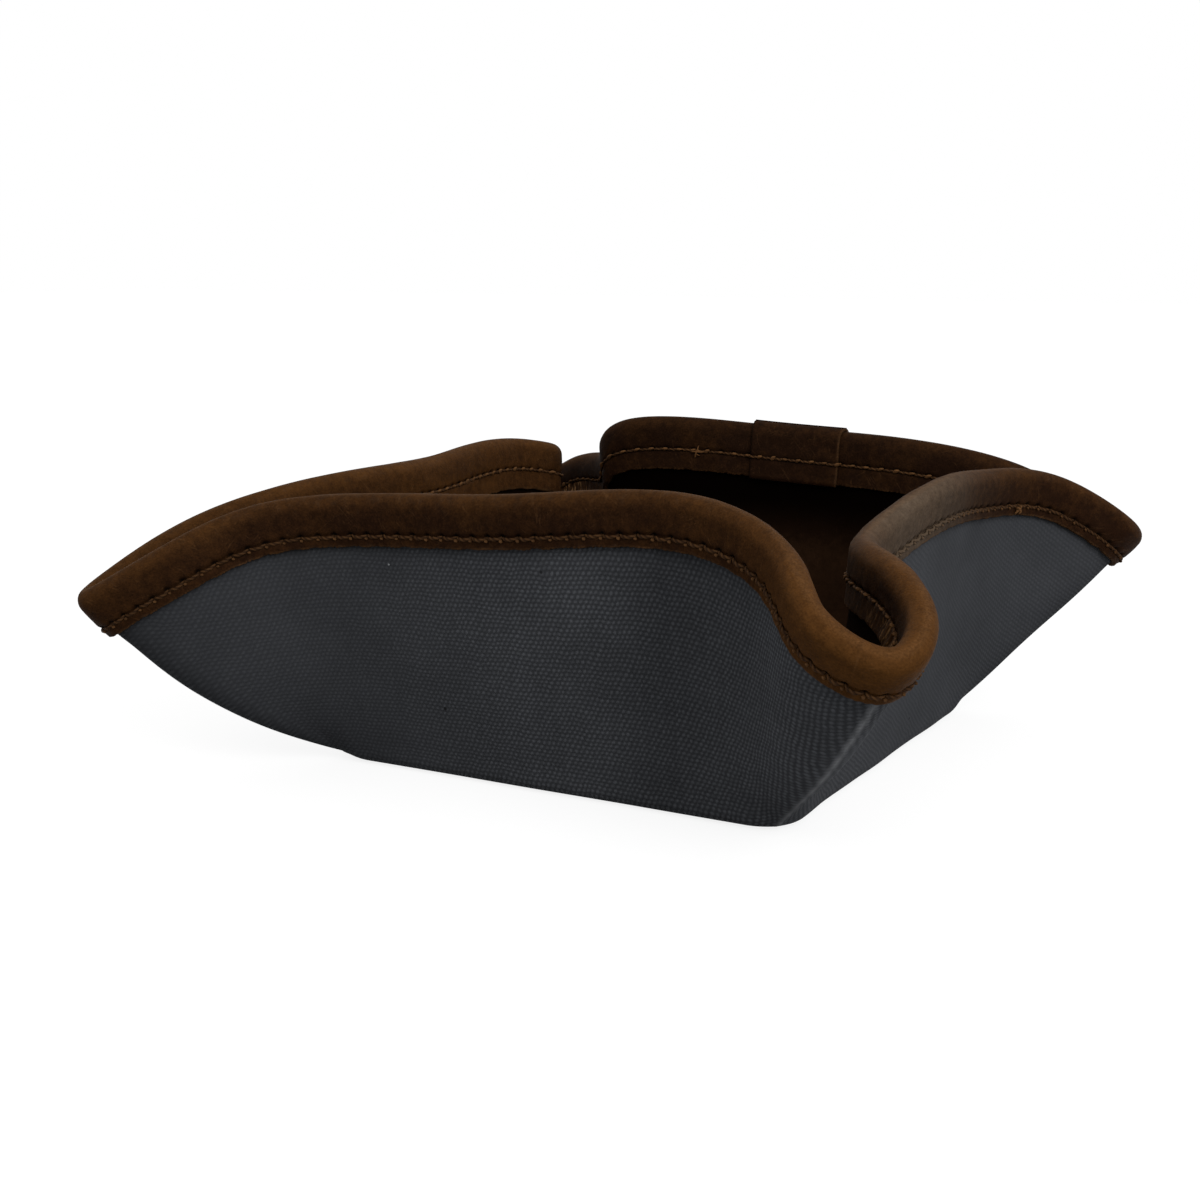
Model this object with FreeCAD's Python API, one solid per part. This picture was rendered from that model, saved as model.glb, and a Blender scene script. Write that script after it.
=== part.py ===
"""Soft valet tray: a canvas sheet lined with leather, its four corners drawn out into
open ears, and a leather strip folded over the whole rim and sewn through.

Millimetres. +Z is up, the origin is the middle of the base on the table, -Y is the front.
"""
import FreeCAD, Part
import math
import os
from collections import namedtuple

from FreeCAD import Vector

# The two layers of the sheet and the strip folded over its rim
CANVAS_THICKNESS = 0.9
LINING_THICKNESS = 1.2
BINDING_THICKNESS = 1.2
BINDING_WIDTH = 9.3
BINDING_INNER_WIDTH = 11.8
FIT_GAP = 0.05

# The flat base and the soft fold where it turns up into the walls
BASE_HALF = 46.3
BASE_CORNER_RADIUS = 7.2
FOLD_LENGTH = 2.2

# The rim: how far each side's middle stands from the centre, its height over the table, how
# far the ears reach from the centre along the diagonals, and how the walls swell
RIM_HALF = 55.0
RIM_HEIGHT = 55.0
EAR_REACH = 107.0
WALL_SWELL = 0.8

# Lap: a short wrap over the strip's two ends, on the back side
LAP_START = -5.0
LAP_LENGTH = 21.0
LAP_THICKNESS = 0.8

# Sewing through the strip, one row seen outside and one inside
STITCH_PITCH = 3.2
STITCH_LENGTH = 2.5
STITCH_INSET = 2.1
THREAD_RADIUS = 0.3
THREAD_GAP = 0.12

# Branch of an ear's rim: where it leaves the side, how far its narrow throat lies behind the
# tip and aside of the ear's middle, and how far the throat drops below RIM_HEIGHT.
Branch = namedtuple("Branch", "shoulder_run throat_back throat_aside throat_drop")
# Ear, shaped by hand and a little different at each corner: its two branches, anticlockwise,
# how far the tip passes EAR_REACH and drops below RIM_HEIGHT, how far its cheek lies behind the
# tip, half the opening there, how far the cheek drops, and the swell of its ridge.
Ear = namedtuple("Ear", "entering leaving tip_over tip_drop cheek_back cheek_gap cheek_drop belly")
# Side: how far the rim rises over RIM_HEIGHT at its middle and at the shoulders where the side
# starts and ends, going anticlockwise seen from above.
Side = namedtuple("Side", "first_rise middle_rise last_rise")

EARS = [
    # front left
    Ear(Branch(33.9, 31.8, 6.7, 4.3), Branch(33.9, 31.8, 7.5, 4.3), 3.8, 20.1, 8.3, 5.5, 14.9, 4.4),
    # front right
    Ear(Branch(35.1, 24.0, 7.5, 3.3), Branch(33.6, 30.9, 10.8, 5.2), 0.2, 15.1, 4.8, 6.8, 12.3, 2.1),
    # back right
    Ear(Branch(32.6, 20.0, 6.5, 5.9), Branch(32.6, 20.0, 6.5, 5.9), -1.5, 17.9, 2.9, 5.4, 16.1, 0.3),
    # back left
    Ear(Branch(42.9, 34.6, 8.8, 3.1), Branch(42.9, 34.6, 7.2, 3.1), -2.6, 16.0, 5.7, 6.3, 11.6, 2.0),
]
SIDES = [
    Side(-2.1, 0.1, 1.9),     # front
    Side(-5.2, -0.6, -1.8),   # right
    Side(0.8, 2.3, -2.6),     # back
    Side(-2.8, -1.9, -2.0),   # left
]
FIRST_EAR_ANGLE = 225.0
BACK_SIDE_NUMBER = 2

# How finely the sheet is followed: columns in each half ear, rows up the wall
HALF_EAR_COLUMNS = 26
FOLD_ROWS = 4
WALL_ROWS = 8
LEG_ROWS = 4
CREST_ROWS = 6
LAP_COLUMNS = 8
HALF_EAR_KNOT_COUNT = 4
WRAPPED_KNOT_COUNT = 6
DEGREE = 3
NORMAL_STEP = 0.5

SHEET_HALF = (CANVAS_THICKNESS + LINING_THICKNESS) / 2
SHEET_CENTRE = (CANVAS_THICKNESS - LINING_THICKNESS) / 2
BINDING_INSIDE = SHEET_HALF + FIT_GAP
BINDING_OUTSIDE = BINDING_INSIDE + BINDING_THICKNESS
LAP_INSIDE = BINDING_OUTSIDE + FIT_GAP
LAP_OUTSIDE = LAP_INSIDE + LAP_THICKNESS
COLUMNS = 2 * HALF_EAR_COLUMNS * len(EARS)


def direction(degrees):
    """Unit vector in the table's plane."""
    angle = math.radians(degrees)
    return Vector(math.cos(angle), math.sin(angle), 0)


def rim_knots():
    """Named points of the rim's crest, anticlockwise from the middle of the left side."""
    knots = []
    for number, ear in enumerate(EARS):
        before, after = SIDES[number - 1], SIDES[number]
        out = direction(FIRST_EAR_ANGLE + 90 * number)
        across = direction(FIRST_EAR_ANGLE + 90 * number + 90)

        def at(reach, gap, rise):
            return out * reach + across * gap + Vector(0, 0, RIM_HEIGHT + rise)

        def shoulder(branch, way, rise):
            reach = (RIM_HALF + branch.shoulder_run) / math.sqrt(2)
            return at(reach, way * (RIM_HALF - branch.shoulder_run) / math.sqrt(2), rise)

        def throat(branch, way):
            return at(tip_reach - branch.throat_back, way * branch.throat_aside, -branch.throat_drop)

        tip_reach = EAR_REACH + ear.tip_over
        cheek_reach = tip_reach - ear.cheek_back
        middle = direction(FIRST_EAR_ANGLE + 90 * number - 45) * RIM_HALF
        knots += [
            middle + Vector(0, 0, RIM_HEIGHT + before.middle_rise),
            shoulder(ear.entering, -1, before.last_rise),
            throat(ear.entering, -1),
            at(cheek_reach, -ear.cheek_gap, -ear.cheek_drop),
            at(tip_reach, 0, -ear.tip_drop),
            at(cheek_reach, ear.cheek_gap, -ear.cheek_drop),
            throat(ear.leaving, 1),
            shoulder(ear.leaving, 1, after.first_rise),
        ]
    return knots


def crest_points():
    """Points along the crest, evenly spaced within each half ear."""
    knots = rim_knots()
    run = knots[-WRAPPED_KNOT_COUNT:] + knots + knots[:WRAPPED_KNOT_COUNT + 1]
    steps = [0.0]
    for start, end in zip(run, run[1:]):
        steps.append(steps[-1] + start.distanceToPoint(end))
    curve = Part.BSplineCurve()
    curve.interpolate(Points=run, Parameters=steps)
    points = []
    for half in range(2 * len(EARS)):
        first = steps[WRAPPED_KNOT_COUNT + HALF_EAR_KNOT_COUNT * half]
        last = steps[WRAPPED_KNOT_COUNT + HALF_EAR_KNOT_COUNT * (half + 1)]
        points += curve.toShape(first, last).discretize(Number=HALF_EAR_COLUMNS + 1)[:-1]
    return points


def base_outline():
    """Points of the base's rounded outline under each column, with the way outwards."""
    straight = BASE_HALF - BASE_CORNER_RADIUS
    half_length = straight + BASE_CORNER_RADIUS * math.pi / 4
    outline = []
    for column in range(COLUMNS):
        half, step = divmod(column, HALF_EAR_COLUMNS)
        share = step / HALF_EAR_COLUMNS
        leaving = half % 2
        if leaving:
            share = 1 - share
        # the rim bunches up at the ears, so the wall fans out from the base's corner
        run = half_length * (2 * share - share * share)
        corner_angle = FIRST_EAR_ANGLE + 90 * (half // 2)
        facing = direction(corner_angle + (45 if leaving else -45))
        along = direction(corner_angle + (-45 if leaving else 45))
        turn = max(0.0, run - straight) / BASE_CORNER_RADIUS
        outwards = facing * math.cos(turn) + along * math.sin(turn)
        centre = facing * straight + along * min(run, straight)
        outline.append((centre + outwards * BASE_CORNER_RADIUS, outwards))
    return outline


def belly(column):
    """How far the wall swells at a column, most on the ear's ridge."""
    half, step = divmod(column, HALF_EAR_COLUMNS)
    share = step / HALF_EAR_COLUMNS
    if half % 2:
        share = 1 - share
    ridge = EARS[half // 2].belly
    return WALL_SWELL + (ridge - WALL_SWELL) * share ** 4


class Sheet:
    """The tray's sheet between canvas and lining, followed in columns round the rim."""

    def __init__(self):
        self.crest = crest_points()
        self.base = base_outline()
        self.lift = Vector(0, 0, CANVAS_THICKNESS)

    def rise(self, column, share):
        """Point on a column from the fold (0) to the crest (1), before any offset."""
        foot = self.base[column][0] + self.lift
        top = self.crest[column]
        up = (top - foot).normalize()
        start = foot + up * FOLD_LENGTH
        point = start + (top - start) * share
        side = (self.crest[(column + 1) % COLUMNS] - self.crest[column - 1]).cross(up)
        return point + side.normalize() * (4 * belly(column) * share * (1 - share))

    def fold(self, column, share):
        """Point on a column round the fold, from the flat base (0) to the wall (1)."""
        foot, outwards = self.base[column]
        foot = foot + self.lift
        flat = foot - outwards * FOLD_LENGTH
        wall = self.rise(column, 0)
        keep = 1 - share
        return flat * (keep * keep) + foot * (2 * keep * share) + wall * (share * share)

    def below_crest(self, column, depth):
        """Point on a column at a depth under the crest, measured up the wall."""
        length = self.rise(column, 0).distanceToPoint(self.crest[column])
        return self.rise(column, 1 - depth / length)

    def offset(self, follow, amounts):
        """Rows of points that stand off the sheet by an amount along its normal.

        follow gives a column's point for each row, and amounts the row's stand-off.
        """
        rows = [[follow(column, row) for column in range(COLUMNS)]
                for row in range(len(amounts))]
        moved = []
        for number, row in enumerate(rows):
            above = rows[min(number + 1, len(rows) - 1)]
            under = rows[max(number - 1, 0)]
            line = []
            for column in range(COLUMNS):
                along = row[(column + 1) % COLUMNS] - row[column - 1]
                normal = along.cross(above[column] - under[column]).normalize()
                line.append(row[column] + normal * amounts[number])
            moved.append(line)
        return moved

    def row_at(self, depth, amount):
        """One row of points at a depth under the crest, off the sheet by an amount."""
        def follow(column, row):
            return self.below_crest(column, depth + NORMAL_STEP * (1 - 2 * row))

        low, high = self.offset(follow, [amount] * 2)
        return [(under + over) / 2 for under, over in zip(low, high)]


def smooth_face(rows, closed=True):
    """Face of a smooth sheet whose control net is the rows; closed ones run right round."""
    across = min(DEGREE, len(rows) - 1)
    net = [[row[column] for row in rows] for column in range(len(rows[0]))]
    inner = len(rows) - across
    surface = Part.BSplineSurface()
    ends = [across + 1] + [1] * (inner - 1) + [across + 1]
    if closed:
        round_knots = list(range(len(net) + 1))
        round_ends = [1] * len(round_knots)
    else:
        round_knots = list(range(len(net) - DEGREE + 1))
        round_ends = [DEGREE + 1] + [1] * (len(round_knots) - 2) + [DEGREE + 1]
    surface.buildFromPolesMultsKnots(net, round_ends, ends, round_knots,
                                     list(range(inner + 1)), closed, False, DEGREE, across)
    return surface.toShape()


def smooth_ring(row):
    """Smooth closed curve whose control points are the row, as on a closed smooth_face."""
    curve = Part.BSplineCurve()
    knots = list(range(len(row) + 1))
    curve.buildFromPolesMultsKnots(row, [1] * len(knots), knots, True, DEGREE)
    return curve


def flat_face(row):
    """Flat face inside a closed row."""
    return Part.Face(Part.Wire(smooth_ring(row).toShape()))


def solid_of(faces):
    """Closed solid sewn from faces that share their edges."""
    shell = Part.makeShell(faces)
    shell.sewShape()
    solid = Part.makeSolid(shell)
    if solid.Volume < 0:
        solid.reverse()
    return solid


def make_layer(sheet, outer, inner):
    """One layer of the sheet, base and walls, between two stand-offs."""
    top_depth = BINDING_OUTSIDE
    rows = FOLD_ROWS + WALL_ROWS

    def follow(column, row):
        if row <= FOLD_ROWS:
            return sheet.fold(column, row / FOLD_ROWS)
        length = sheet.rise(column, 0).distanceToPoint(sheet.crest[column])
        share = (row - FOLD_ROWS) / WALL_ROWS
        return sheet.rise(column, share * (1 - top_depth / length))

    faces = []
    edges = []
    for amount in (outer, inner):
        net = sheet.offset(follow, [amount] * (rows + 1))
        level = sheet.lift.z - amount
        net[0] = [Vector(point.x, point.y, level) for point in net[0]]
        faces += [smooth_face(net), flat_face(net[0])]
        edges.append(net[-1])
    faces.append(smooth_face(edges))
    return solid_of(faces)


def strip_rows(sheet, radius):
    """Rows over the rim at a radius round the sheet's edge, outside leg to inside leg."""
    centre_depth = BINDING_OUTSIDE
    places = []
    for row in range(LEG_ROWS):
        places.append((BINDING_WIDTH + (centre_depth - BINDING_WIDTH) * row / LEG_ROWS, radius))
    for row in range(CREST_ROWS + 1):
        angle = math.pi * row / CREST_ROWS
        places.append((centre_depth - radius * math.sin(angle), radius * math.cos(angle)))
    for row in range(1, LEG_ROWS + 1):
        reach = (BINDING_INNER_WIDTH - centre_depth) * row / LEG_ROWS
        places.append((centre_depth + reach, -radius))
    rows = []
    for depth, amount in places:
        rows.append(sheet.row_at(depth, amount + SHEET_CENTRE))
    return rows


def make_binding(sheet):
    """Leather strip folded over the whole rim."""
    outside = strip_rows(sheet, BINDING_OUTSIDE)
    inside = strip_rows(sheet, BINDING_INSIDE)
    faces = [smooth_face(outside), smooth_face(inside)]
    for edge in (0, -1):
        faces.append(smooth_face([outside[edge], inside[edge]]))
    return solid_of(faces)


def lap_span(sheet):
    """Where the lap starts and ends on the back side, counted in columns."""
    middle = 2 * (BACK_SIDE_NUMBER + 1) * HALF_EAR_COLUMNS

    def column_at(run):
        for column in range(middle - HALF_EAR_COLUMNS, middle + HALF_EAR_COLUMNS):
            here, after = sheet.crest[column].x, sheet.crest[column + 1].x
            if here >= run > after:
                return column + (here - run) / (here - after)

    return column_at(LAP_START + LAP_LENGTH), column_at(LAP_START)


def part_of_row(row, first, last):
    """Evenly spaced points of a row between two places counted in columns."""
    points = []
    for step in range(LAP_COLUMNS + 1):
        column, share = divmod(first + (last - first) * step / LAP_COLUMNS, 1)
        points.append(row[int(column)] * (1 - share) + row[int(column) + 1] * share)
    return points


def make_lap(sheet):
    """Short leather wrap over the two ends of the strip."""
    first, last = lap_span(sheet)
    outside = [part_of_row(row, first, last) for row in strip_rows(sheet, LAP_OUTSIDE)]
    inside = [part_of_row(row, first, last) for row in strip_rows(sheet, LAP_INSIDE)]
    faces = [smooth_face(outside, False), smooth_face(inside, False)]
    for edge in (0, -1):
        faces.append(smooth_face([outside[edge], inside[edge]], False))
        ends = [[row[edge] for row in skin] for skin in (outside, inside)]
        faces.append(smooth_face(ends, False))
    return solid_of(faces)


def stitch_line(sheet, side):
    """Line on which a row of stitches lies, outside (1) or inside (-1), over the lap too."""
    first, last = lap_span(sheet)
    lap = slice(math.floor(first), math.ceil(last) + 1)
    depth = BINDING_WIDTH - STITCH_INSET
    seat = THREAD_RADIUS + THREAD_GAP
    line = sheet.row_at(depth, side * (BINDING_OUTSIDE + seat) + SHEET_CENTRE)
    raised = sheet.row_at(depth, side * (LAP_OUTSIDE + seat) + SHEET_CENTRE)
    line[lap] = raised[lap]
    return smooth_ring(line)


def make_stitches(sheet, side):
    """Row of stitches outside (1) or inside (-1); both rows share the same needle holes."""
    outer = stitch_line(sheet, 1)
    line = stitch_line(sheet, side)
    length = outer.length()
    count = round(length / STITCH_PITCH)
    stitches = []
    for number in range(count):
        hole = length * number / count
        start = line.value(outer.parameterAtDistance(hole))
        end = line.value(outer.parameterAtDistance(hole + STITCH_LENGTH))
        stitches.append(Part.makeCylinder(THREAD_RADIUS, (end - start).Length, start, end - start))
    return Part.makeCompound(stitches)


def main():
    """Build every piece and write it out."""
    sheet = Sheet()
    pieces = {
        "canvas_shell": make_layer(sheet, CANVAS_THICKNESS, 0.0),
        "leather_lining": make_layer(sheet, -FIT_GAP, -FIT_GAP - LINING_THICKNESS),
        "rim_binding": make_binding(sheet),
        "binding_lap": make_lap(sheet),
        "needle_thread": make_stitches(sheet, 1),
        "bobbin_thread": make_stitches(sheet, -1),
    }
    os.makedirs("parts", exist_ok=True)
    for name, shape in pieces.items():
        shape.exportStep(f"parts/{name}.step")
        box = shape.BoundBox
        print(name, shape.isValid(), len(shape.Solids), "solids", round(shape.Volume, 1), "mm3",
              [round(value, 2) for value in (box.XMin, box.YMin, box.ZMin, box.XMax, box.YMax, box.ZMax)])


main()
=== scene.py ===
"""Soft valet tray in waxed duck and oiled leather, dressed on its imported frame.

Lengths are written in millimetres and turned into metres when a mesh is made. +Z is up, the
origin is the middle of the base on the table, -Y is the front side.
"""
import logging
import math
from dataclasses import dataclass, field, replace
from enum import Enum
from typing import Sequence, Union

import bpy
import numpy as np
from mathutils import Matrix, Vector


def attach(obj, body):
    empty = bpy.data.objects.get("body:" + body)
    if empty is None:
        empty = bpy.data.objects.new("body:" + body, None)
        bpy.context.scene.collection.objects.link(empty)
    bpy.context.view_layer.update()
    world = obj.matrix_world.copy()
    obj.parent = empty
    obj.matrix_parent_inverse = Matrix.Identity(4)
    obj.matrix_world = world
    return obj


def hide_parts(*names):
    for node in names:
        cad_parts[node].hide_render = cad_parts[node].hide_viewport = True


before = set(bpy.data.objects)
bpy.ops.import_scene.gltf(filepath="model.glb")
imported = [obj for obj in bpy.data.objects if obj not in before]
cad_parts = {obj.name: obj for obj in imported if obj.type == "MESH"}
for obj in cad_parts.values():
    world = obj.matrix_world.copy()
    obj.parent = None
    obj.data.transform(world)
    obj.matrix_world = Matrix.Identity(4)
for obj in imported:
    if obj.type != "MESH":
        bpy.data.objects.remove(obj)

LOG = logging.getLogger("valet_tray")
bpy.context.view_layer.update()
MM = 0.001
HALF_EARS = 8
HALF_EAR_KNOTS = 4
EAR_TIPS = (1.0, 3.0, 5.0, 7.0)
NOISE_RANGE = (0.3, 0.7)
BODY = "root"

Array = np.ndarray
Socket = bpy.types.NodeSocket
Feed = Union[Socket, float, Sequence[float]]
Colour = tuple[float, float, float]


class Slot(Enum):
    """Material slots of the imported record."""

    CANVAS = "canvas"
    LINING = "lining_leather"
    BINDING = "binding_leather"
    THREAD = "thread"


class Face(Enum):
    """Which face of the rim a row of sewing shows on."""

    OUTSIDE = 1
    INSIDE = -1


def smooth_step(low: float, high: float, value: Array) -> Array:
    """Soft step from 0 at low to 1 at high."""
    share = np.clip((value - low) / (high - low), 0.0, 1.0)
    return share * share * (3 - 2 * share)


def bump(value: Array, width: float) -> Array:
    """Bell of height 1 and a given half width."""
    return np.exp(-(value / width) ** 2)


def unit(vectors: Array) -> Array:
    """Vectors brought to length 1."""
    return vectors / np.maximum(np.linalg.norm(vectors, axis=-1, keepdims=True), 1e-12)


def run_along(points: Array) -> Array:
    """Length from the first point of a line to each of its points."""
    return np.concatenate([[0], np.cumsum(np.linalg.norm(np.diff(points, axis=0), axis=1))])


def heading(degrees: Array) -> Array:
    """Unit vectors in the table's plane."""
    angle = np.radians(degrees)
    return np.stack([np.cos(angle), np.sin(angle), np.zeros_like(angle)], -1)


@dataclass(frozen=True)
class Ripple:
    """Seeded slow unevenness of a sheet shaped by hand.

    Attributes:
        wavelength: Typical length of one wave, in mm.
        height: Root mean square height, in mm.
        seed: Seed of the waves' directions and phases.
        waves: How many waves are added up.
    """

    wavelength: float
    height: float
    seed: int
    waves: int = 14

    def at(self, place: Array) -> Array:
        """Height at each place.

        Args:
            place: Points with their coordinates on the last axis.

        Returns:
            One height for each point.
        """
        dice = np.random.default_rng(self.seed)
        total = np.zeros(place.shape[:-1])
        for _ in range(self.waves):
            way = unit(dice.normal(size=place.shape[-1]))
            way = way * 2 * math.pi / (self.wavelength * dice.uniform(0.7, 1.6))
            total += np.sin(place @ way + dice.uniform(0, 2 * math.pi))
        return total * self.height / math.sqrt(self.waves / 2)


@dataclass(frozen=True)
class Branch:
    """Half of an ear's rim: where it leaves the side, and its throat, measured from the tip."""

    shoulder_run: float
    throat_back: float
    throat_aside: float
    throat_drop: float


@dataclass(frozen=True)
class Ear:
    """One corner drawn out by hand, measured from the tip and down from the rim."""

    entering: Branch
    leaving: Branch
    tip_over: float
    tip_drop: float
    cheek_back: float
    cheek_gap: float
    cheek_drop: float
    belly: float


@dataclass(frozen=True)
class Side:
    """Rise of the rim over its common height at a side's start, middle and end."""

    first_rise: float
    middle_rise: float
    last_rise: float


@dataclass
class TrayForm:
    """The formed sheet that all layers follow, in places u round the rim and w up the wall.

    u runs from 0 at the middle of the left side to 8, one for each half ear, so the ears' tips
    lie at 1, 3, 5 and 7. w is 0 at the flat base's edge, 1 where the wall starts and 2 at the
    crest.
    """

    canvas: float = 0.9
    lining: float = 1.2
    base_half: float = 46.3
    base_corner: float = 7.2
    fold: float = 2.2
    rim_half: float = 55.0
    rim_height: float = 55.0
    ear_reach: float = 107.0
    swell: float = 0.8
    flat_half: float = 100.6
    flat_corner: float = 56.0
    first_ear: float = 225.0
    ears: tuple[Ear, ...] = (
        Ear(Branch(33.9, 31.8, 6.7, 4.3), Branch(33.9, 31.8, 7.5, 4.3), 3.8, 20.1, 8.3, 5.5, 14.9, 4.4),
        Ear(Branch(35.1, 24.0, 7.5, 3.3), Branch(33.6, 30.9, 10.8, 5.2), 0.2, 15.1, 4.8, 6.8, 12.3, 2.1),
        Ear(Branch(32.6, 20.0, 6.5, 5.9), Branch(32.6, 20.0, 6.5, 5.9), -1.5, 17.9, 2.9, 5.4, 16.1, 0.3),
        Ear(Branch(42.9, 34.6, 8.8, 3.1), Branch(42.9, 34.6, 7.2, 3.1), -2.6, 16.0, 5.7, 6.3, 11.6, 2.0),
    )
    sides: tuple[Side, ...] = (
        Side(-2.1, 0.1, 1.9),
        Side(-5.2, -0.6, -1.8),
        Side(0.8, 2.3, -2.6),
        Side(-2.8, -1.9, -2.0),
    )
    tangent_step: float = 1 / 26
    normal_step: float = 1 / 80
    normal_lift: float = 0.01
    fold_run: float = 1.7
    trace_steps: int = 400
    table_steps: int = 640
    table_u: Array = field(init=False)
    table_crest: Array = field(init=False)

    def __post_init__(self) -> None:
        """Trace the crest once, evenly within each half ear."""
        knots = self.knots()
        steps = np.linalg.norm(np.roll(knots, -1, 0) - knots, axis=1)
        bends = self.closed_bends(knots, steps)
        places, crest = [], []
        for half in range(HALF_EARS):
            line = []
            for piece in range(HALF_EAR_KNOTS * half, HALF_EAR_KNOTS * (half + 1)):
                after = (piece + 1) % len(knots)
                length = steps[piece]
                run = np.linspace(0, length, self.trace_steps)[:, None]
                rest = length - run
                line.append(
                    (bends[piece] * rest ** 3 + bends[after] * run ** 3) / (6 * length)
                    + (knots[piece] / length - bends[piece] * length / 6) * rest
                    + (knots[after] / length - bends[after] * length / 6) * run)
            path = np.concatenate(line)
            gone = run_along(path)
            share = np.linspace(0, 1, self.table_steps, endpoint=False)
            places.append(half + share)
            crest.append(np.stack([np.interp(share * gone[-1], gone, path[:, axis])
                                   for axis in range(3)], -1))
        self.table_u = np.append(np.concatenate(places), HALF_EARS)
        self.table_crest = np.concatenate(crest + [crest[0][:1]])

    def knots(self) -> Array:
        """Named points of the crest, anticlockwise from the middle of the left side.

        Returns:
            Points in mm, four for each half ear.
        """
        points = []
        for number, ear in enumerate(self.ears):
            before, after = self.sides[number - 1], self.sides[number]
            angle = self.first_ear + 90 * number
            out, across = heading(np.array(angle)), heading(np.array(angle + 90.0))
            tip = self.ear_reach + ear.tip_over
            (first, first_gap), (last, last_gap) = (
                ((self.rim_half + branch.shoulder_run) / math.sqrt(2),
                 (self.rim_half - branch.shoulder_run) / math.sqrt(2))
                for branch in (ear.entering, ear.leaving))
            points.append(heading(np.array(angle - 45.0)) * self.rim_half
                          + (0, 0, self.rim_height + before.middle_rise))
            for reach, aside, rise in (
                    (first, -first_gap, before.last_rise),
                    (tip - ear.entering.throat_back, -ear.entering.throat_aside,
                     -ear.entering.throat_drop),
                    (tip - ear.cheek_back, -ear.cheek_gap, -ear.cheek_drop),
                    (tip, 0.0, -ear.tip_drop),
                    (tip - ear.cheek_back, ear.cheek_gap, -ear.cheek_drop),
                    (tip - ear.leaving.throat_back, ear.leaving.throat_aside,
                     -ear.leaving.throat_drop),
                    (last, last_gap, after.first_rise)):
                points.append(out * reach + across * aside + (0, 0, self.rim_height + rise))
        return np.array(points)

    @staticmethod
    def closed_bends(knots: Array, steps: Array) -> Array:
        """Second derivatives of the closed cubic through the knots.

        Args:
            knots: Points of the crest.
            steps: Length from each knot to the next.

        Returns:
            One second derivative for each knot.
        """
        count = len(knots)
        matrix, right = np.zeros((count, count)), np.zeros((count, 3))
        for here in range(count):
            after = (here + 1) % count
            matrix[here, here - 1] = steps[here - 1] / 6
            matrix[here, here] = (steps[here - 1] + steps[here]) / 3
            matrix[here, after] = steps[here] / 6
            right[here] = ((knots[after] - knots[here]) / steps[here]
                           - (knots[here] - knots[here - 1]) / steps[here - 1])
        return np.linalg.solve(matrix, right)

    def crest(self, u: Array) -> Array:
        """Points of the crest.

        Args:
            u: Places round the rim.

        Returns:
            One point for each place.
        """
        around = np.mod(u, HALF_EARS)
        return np.stack([np.interp(around, self.table_u, self.table_crest[:, axis])
                         for axis in range(3)], -1)

    def ear_share(self, u: Array) -> tuple[Array, Array, Array]:
        """Where a place lies within its half ear.

        Args:
            u: Places round the rim.

        Returns:
            Number of the half ear, whether it leads away from its tip, and the share from the
            side's middle to the tip.
        """
        around = np.mod(u, HALF_EARS)
        half = np.minimum(np.floor(around).astype(int), HALF_EARS - 1)
        leaving = half % 2 == 1
        share = around - half
        return half, leaving, np.where(leaving, 1 - share, share)

    def rounded_square(self, u: Array, run: Array, half_side: float,
                       corner: float) -> tuple[Array, Array]:
        """Points of a rounded square at runs from its sides' middles.

        Args:
            u: Places round the rim, which choose the half side.
            run: Length from the side's middle towards the corner.
            half_side: Half the square's width.
            corner: Radius of its corners.

        Returns:
            The points and the directions outwards.
        """
        half, leaving, _ = self.ear_share(u)
        angle = self.first_ear + 90.0 * (half // 2)
        facing = heading(np.where(leaving, angle + 45, angle - 45))
        along = heading(np.where(leaving, angle - 45, angle + 45))
        straight = half_side - corner
        turn = (np.maximum(0, run - straight) / corner)[..., None]
        outwards = facing * np.cos(turn) + along * np.sin(turn)
        centre = facing * straight + along * np.minimum(run, straight)[..., None]
        return centre + outwards * corner, outwards

    def base(self, u: Array) -> tuple[Array, Array]:
        """Points of the base's outline under each place.

        Args:
            u: Places round the rim.

        Returns:
            The points, and the directions outwards.
        """
        _, _, share = self.ear_share(u)
        reach = self.base_half - self.base_corner * (1 - math.pi / 4)
        return self.rounded_square(u, reach * (2 * share - share * share), self.base_half,
                                   self.base_corner)

    def flat_rim(self, u: Array) -> Array:
        """Where each place of the rim lay on the flat cut.

        Args:
            u: Places round the rim.

        Returns:
            Points of the flat cut's edge.
        """
        _, _, share = self.ear_share(u)
        reach = self.flat_half - self.flat_corner * (1 - math.pi / 4)
        return self.rounded_square(u, reach * share, self.flat_half, self.flat_corner)[0]

    def belly(self, u: Array) -> Array:
        """Swell of the wall at each place, most on the ears' ridges.

        Args:
            u: Places round the rim.

        Returns:
            The swell in mm.
        """
        half, _, share = self.ear_share(u)
        ridge = np.array([ear.belly for ear in self.ears])[half // 2]
        return self.swell + (ridge - self.swell) * share ** 4

    def wall(self, u: Array) -> tuple[Array, Array, Array]:
        """Lines that the wall is spanned between.

        Args:
            u: Places round the rim.

        Returns:
            Feet, starts and tops of the wall at these places.
        """
        foot = self.base(u)[0] + (0, 0, self.canvas)
        top = self.crest(u)
        return foot, foot + unit(top - foot) * self.fold, top

    def height(self, u: Array) -> Array:
        """Length of the wall from its start to the crest at each place."""
        _, start, top = self.wall(u)
        return np.linalg.norm(top - start, axis=-1)

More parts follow.
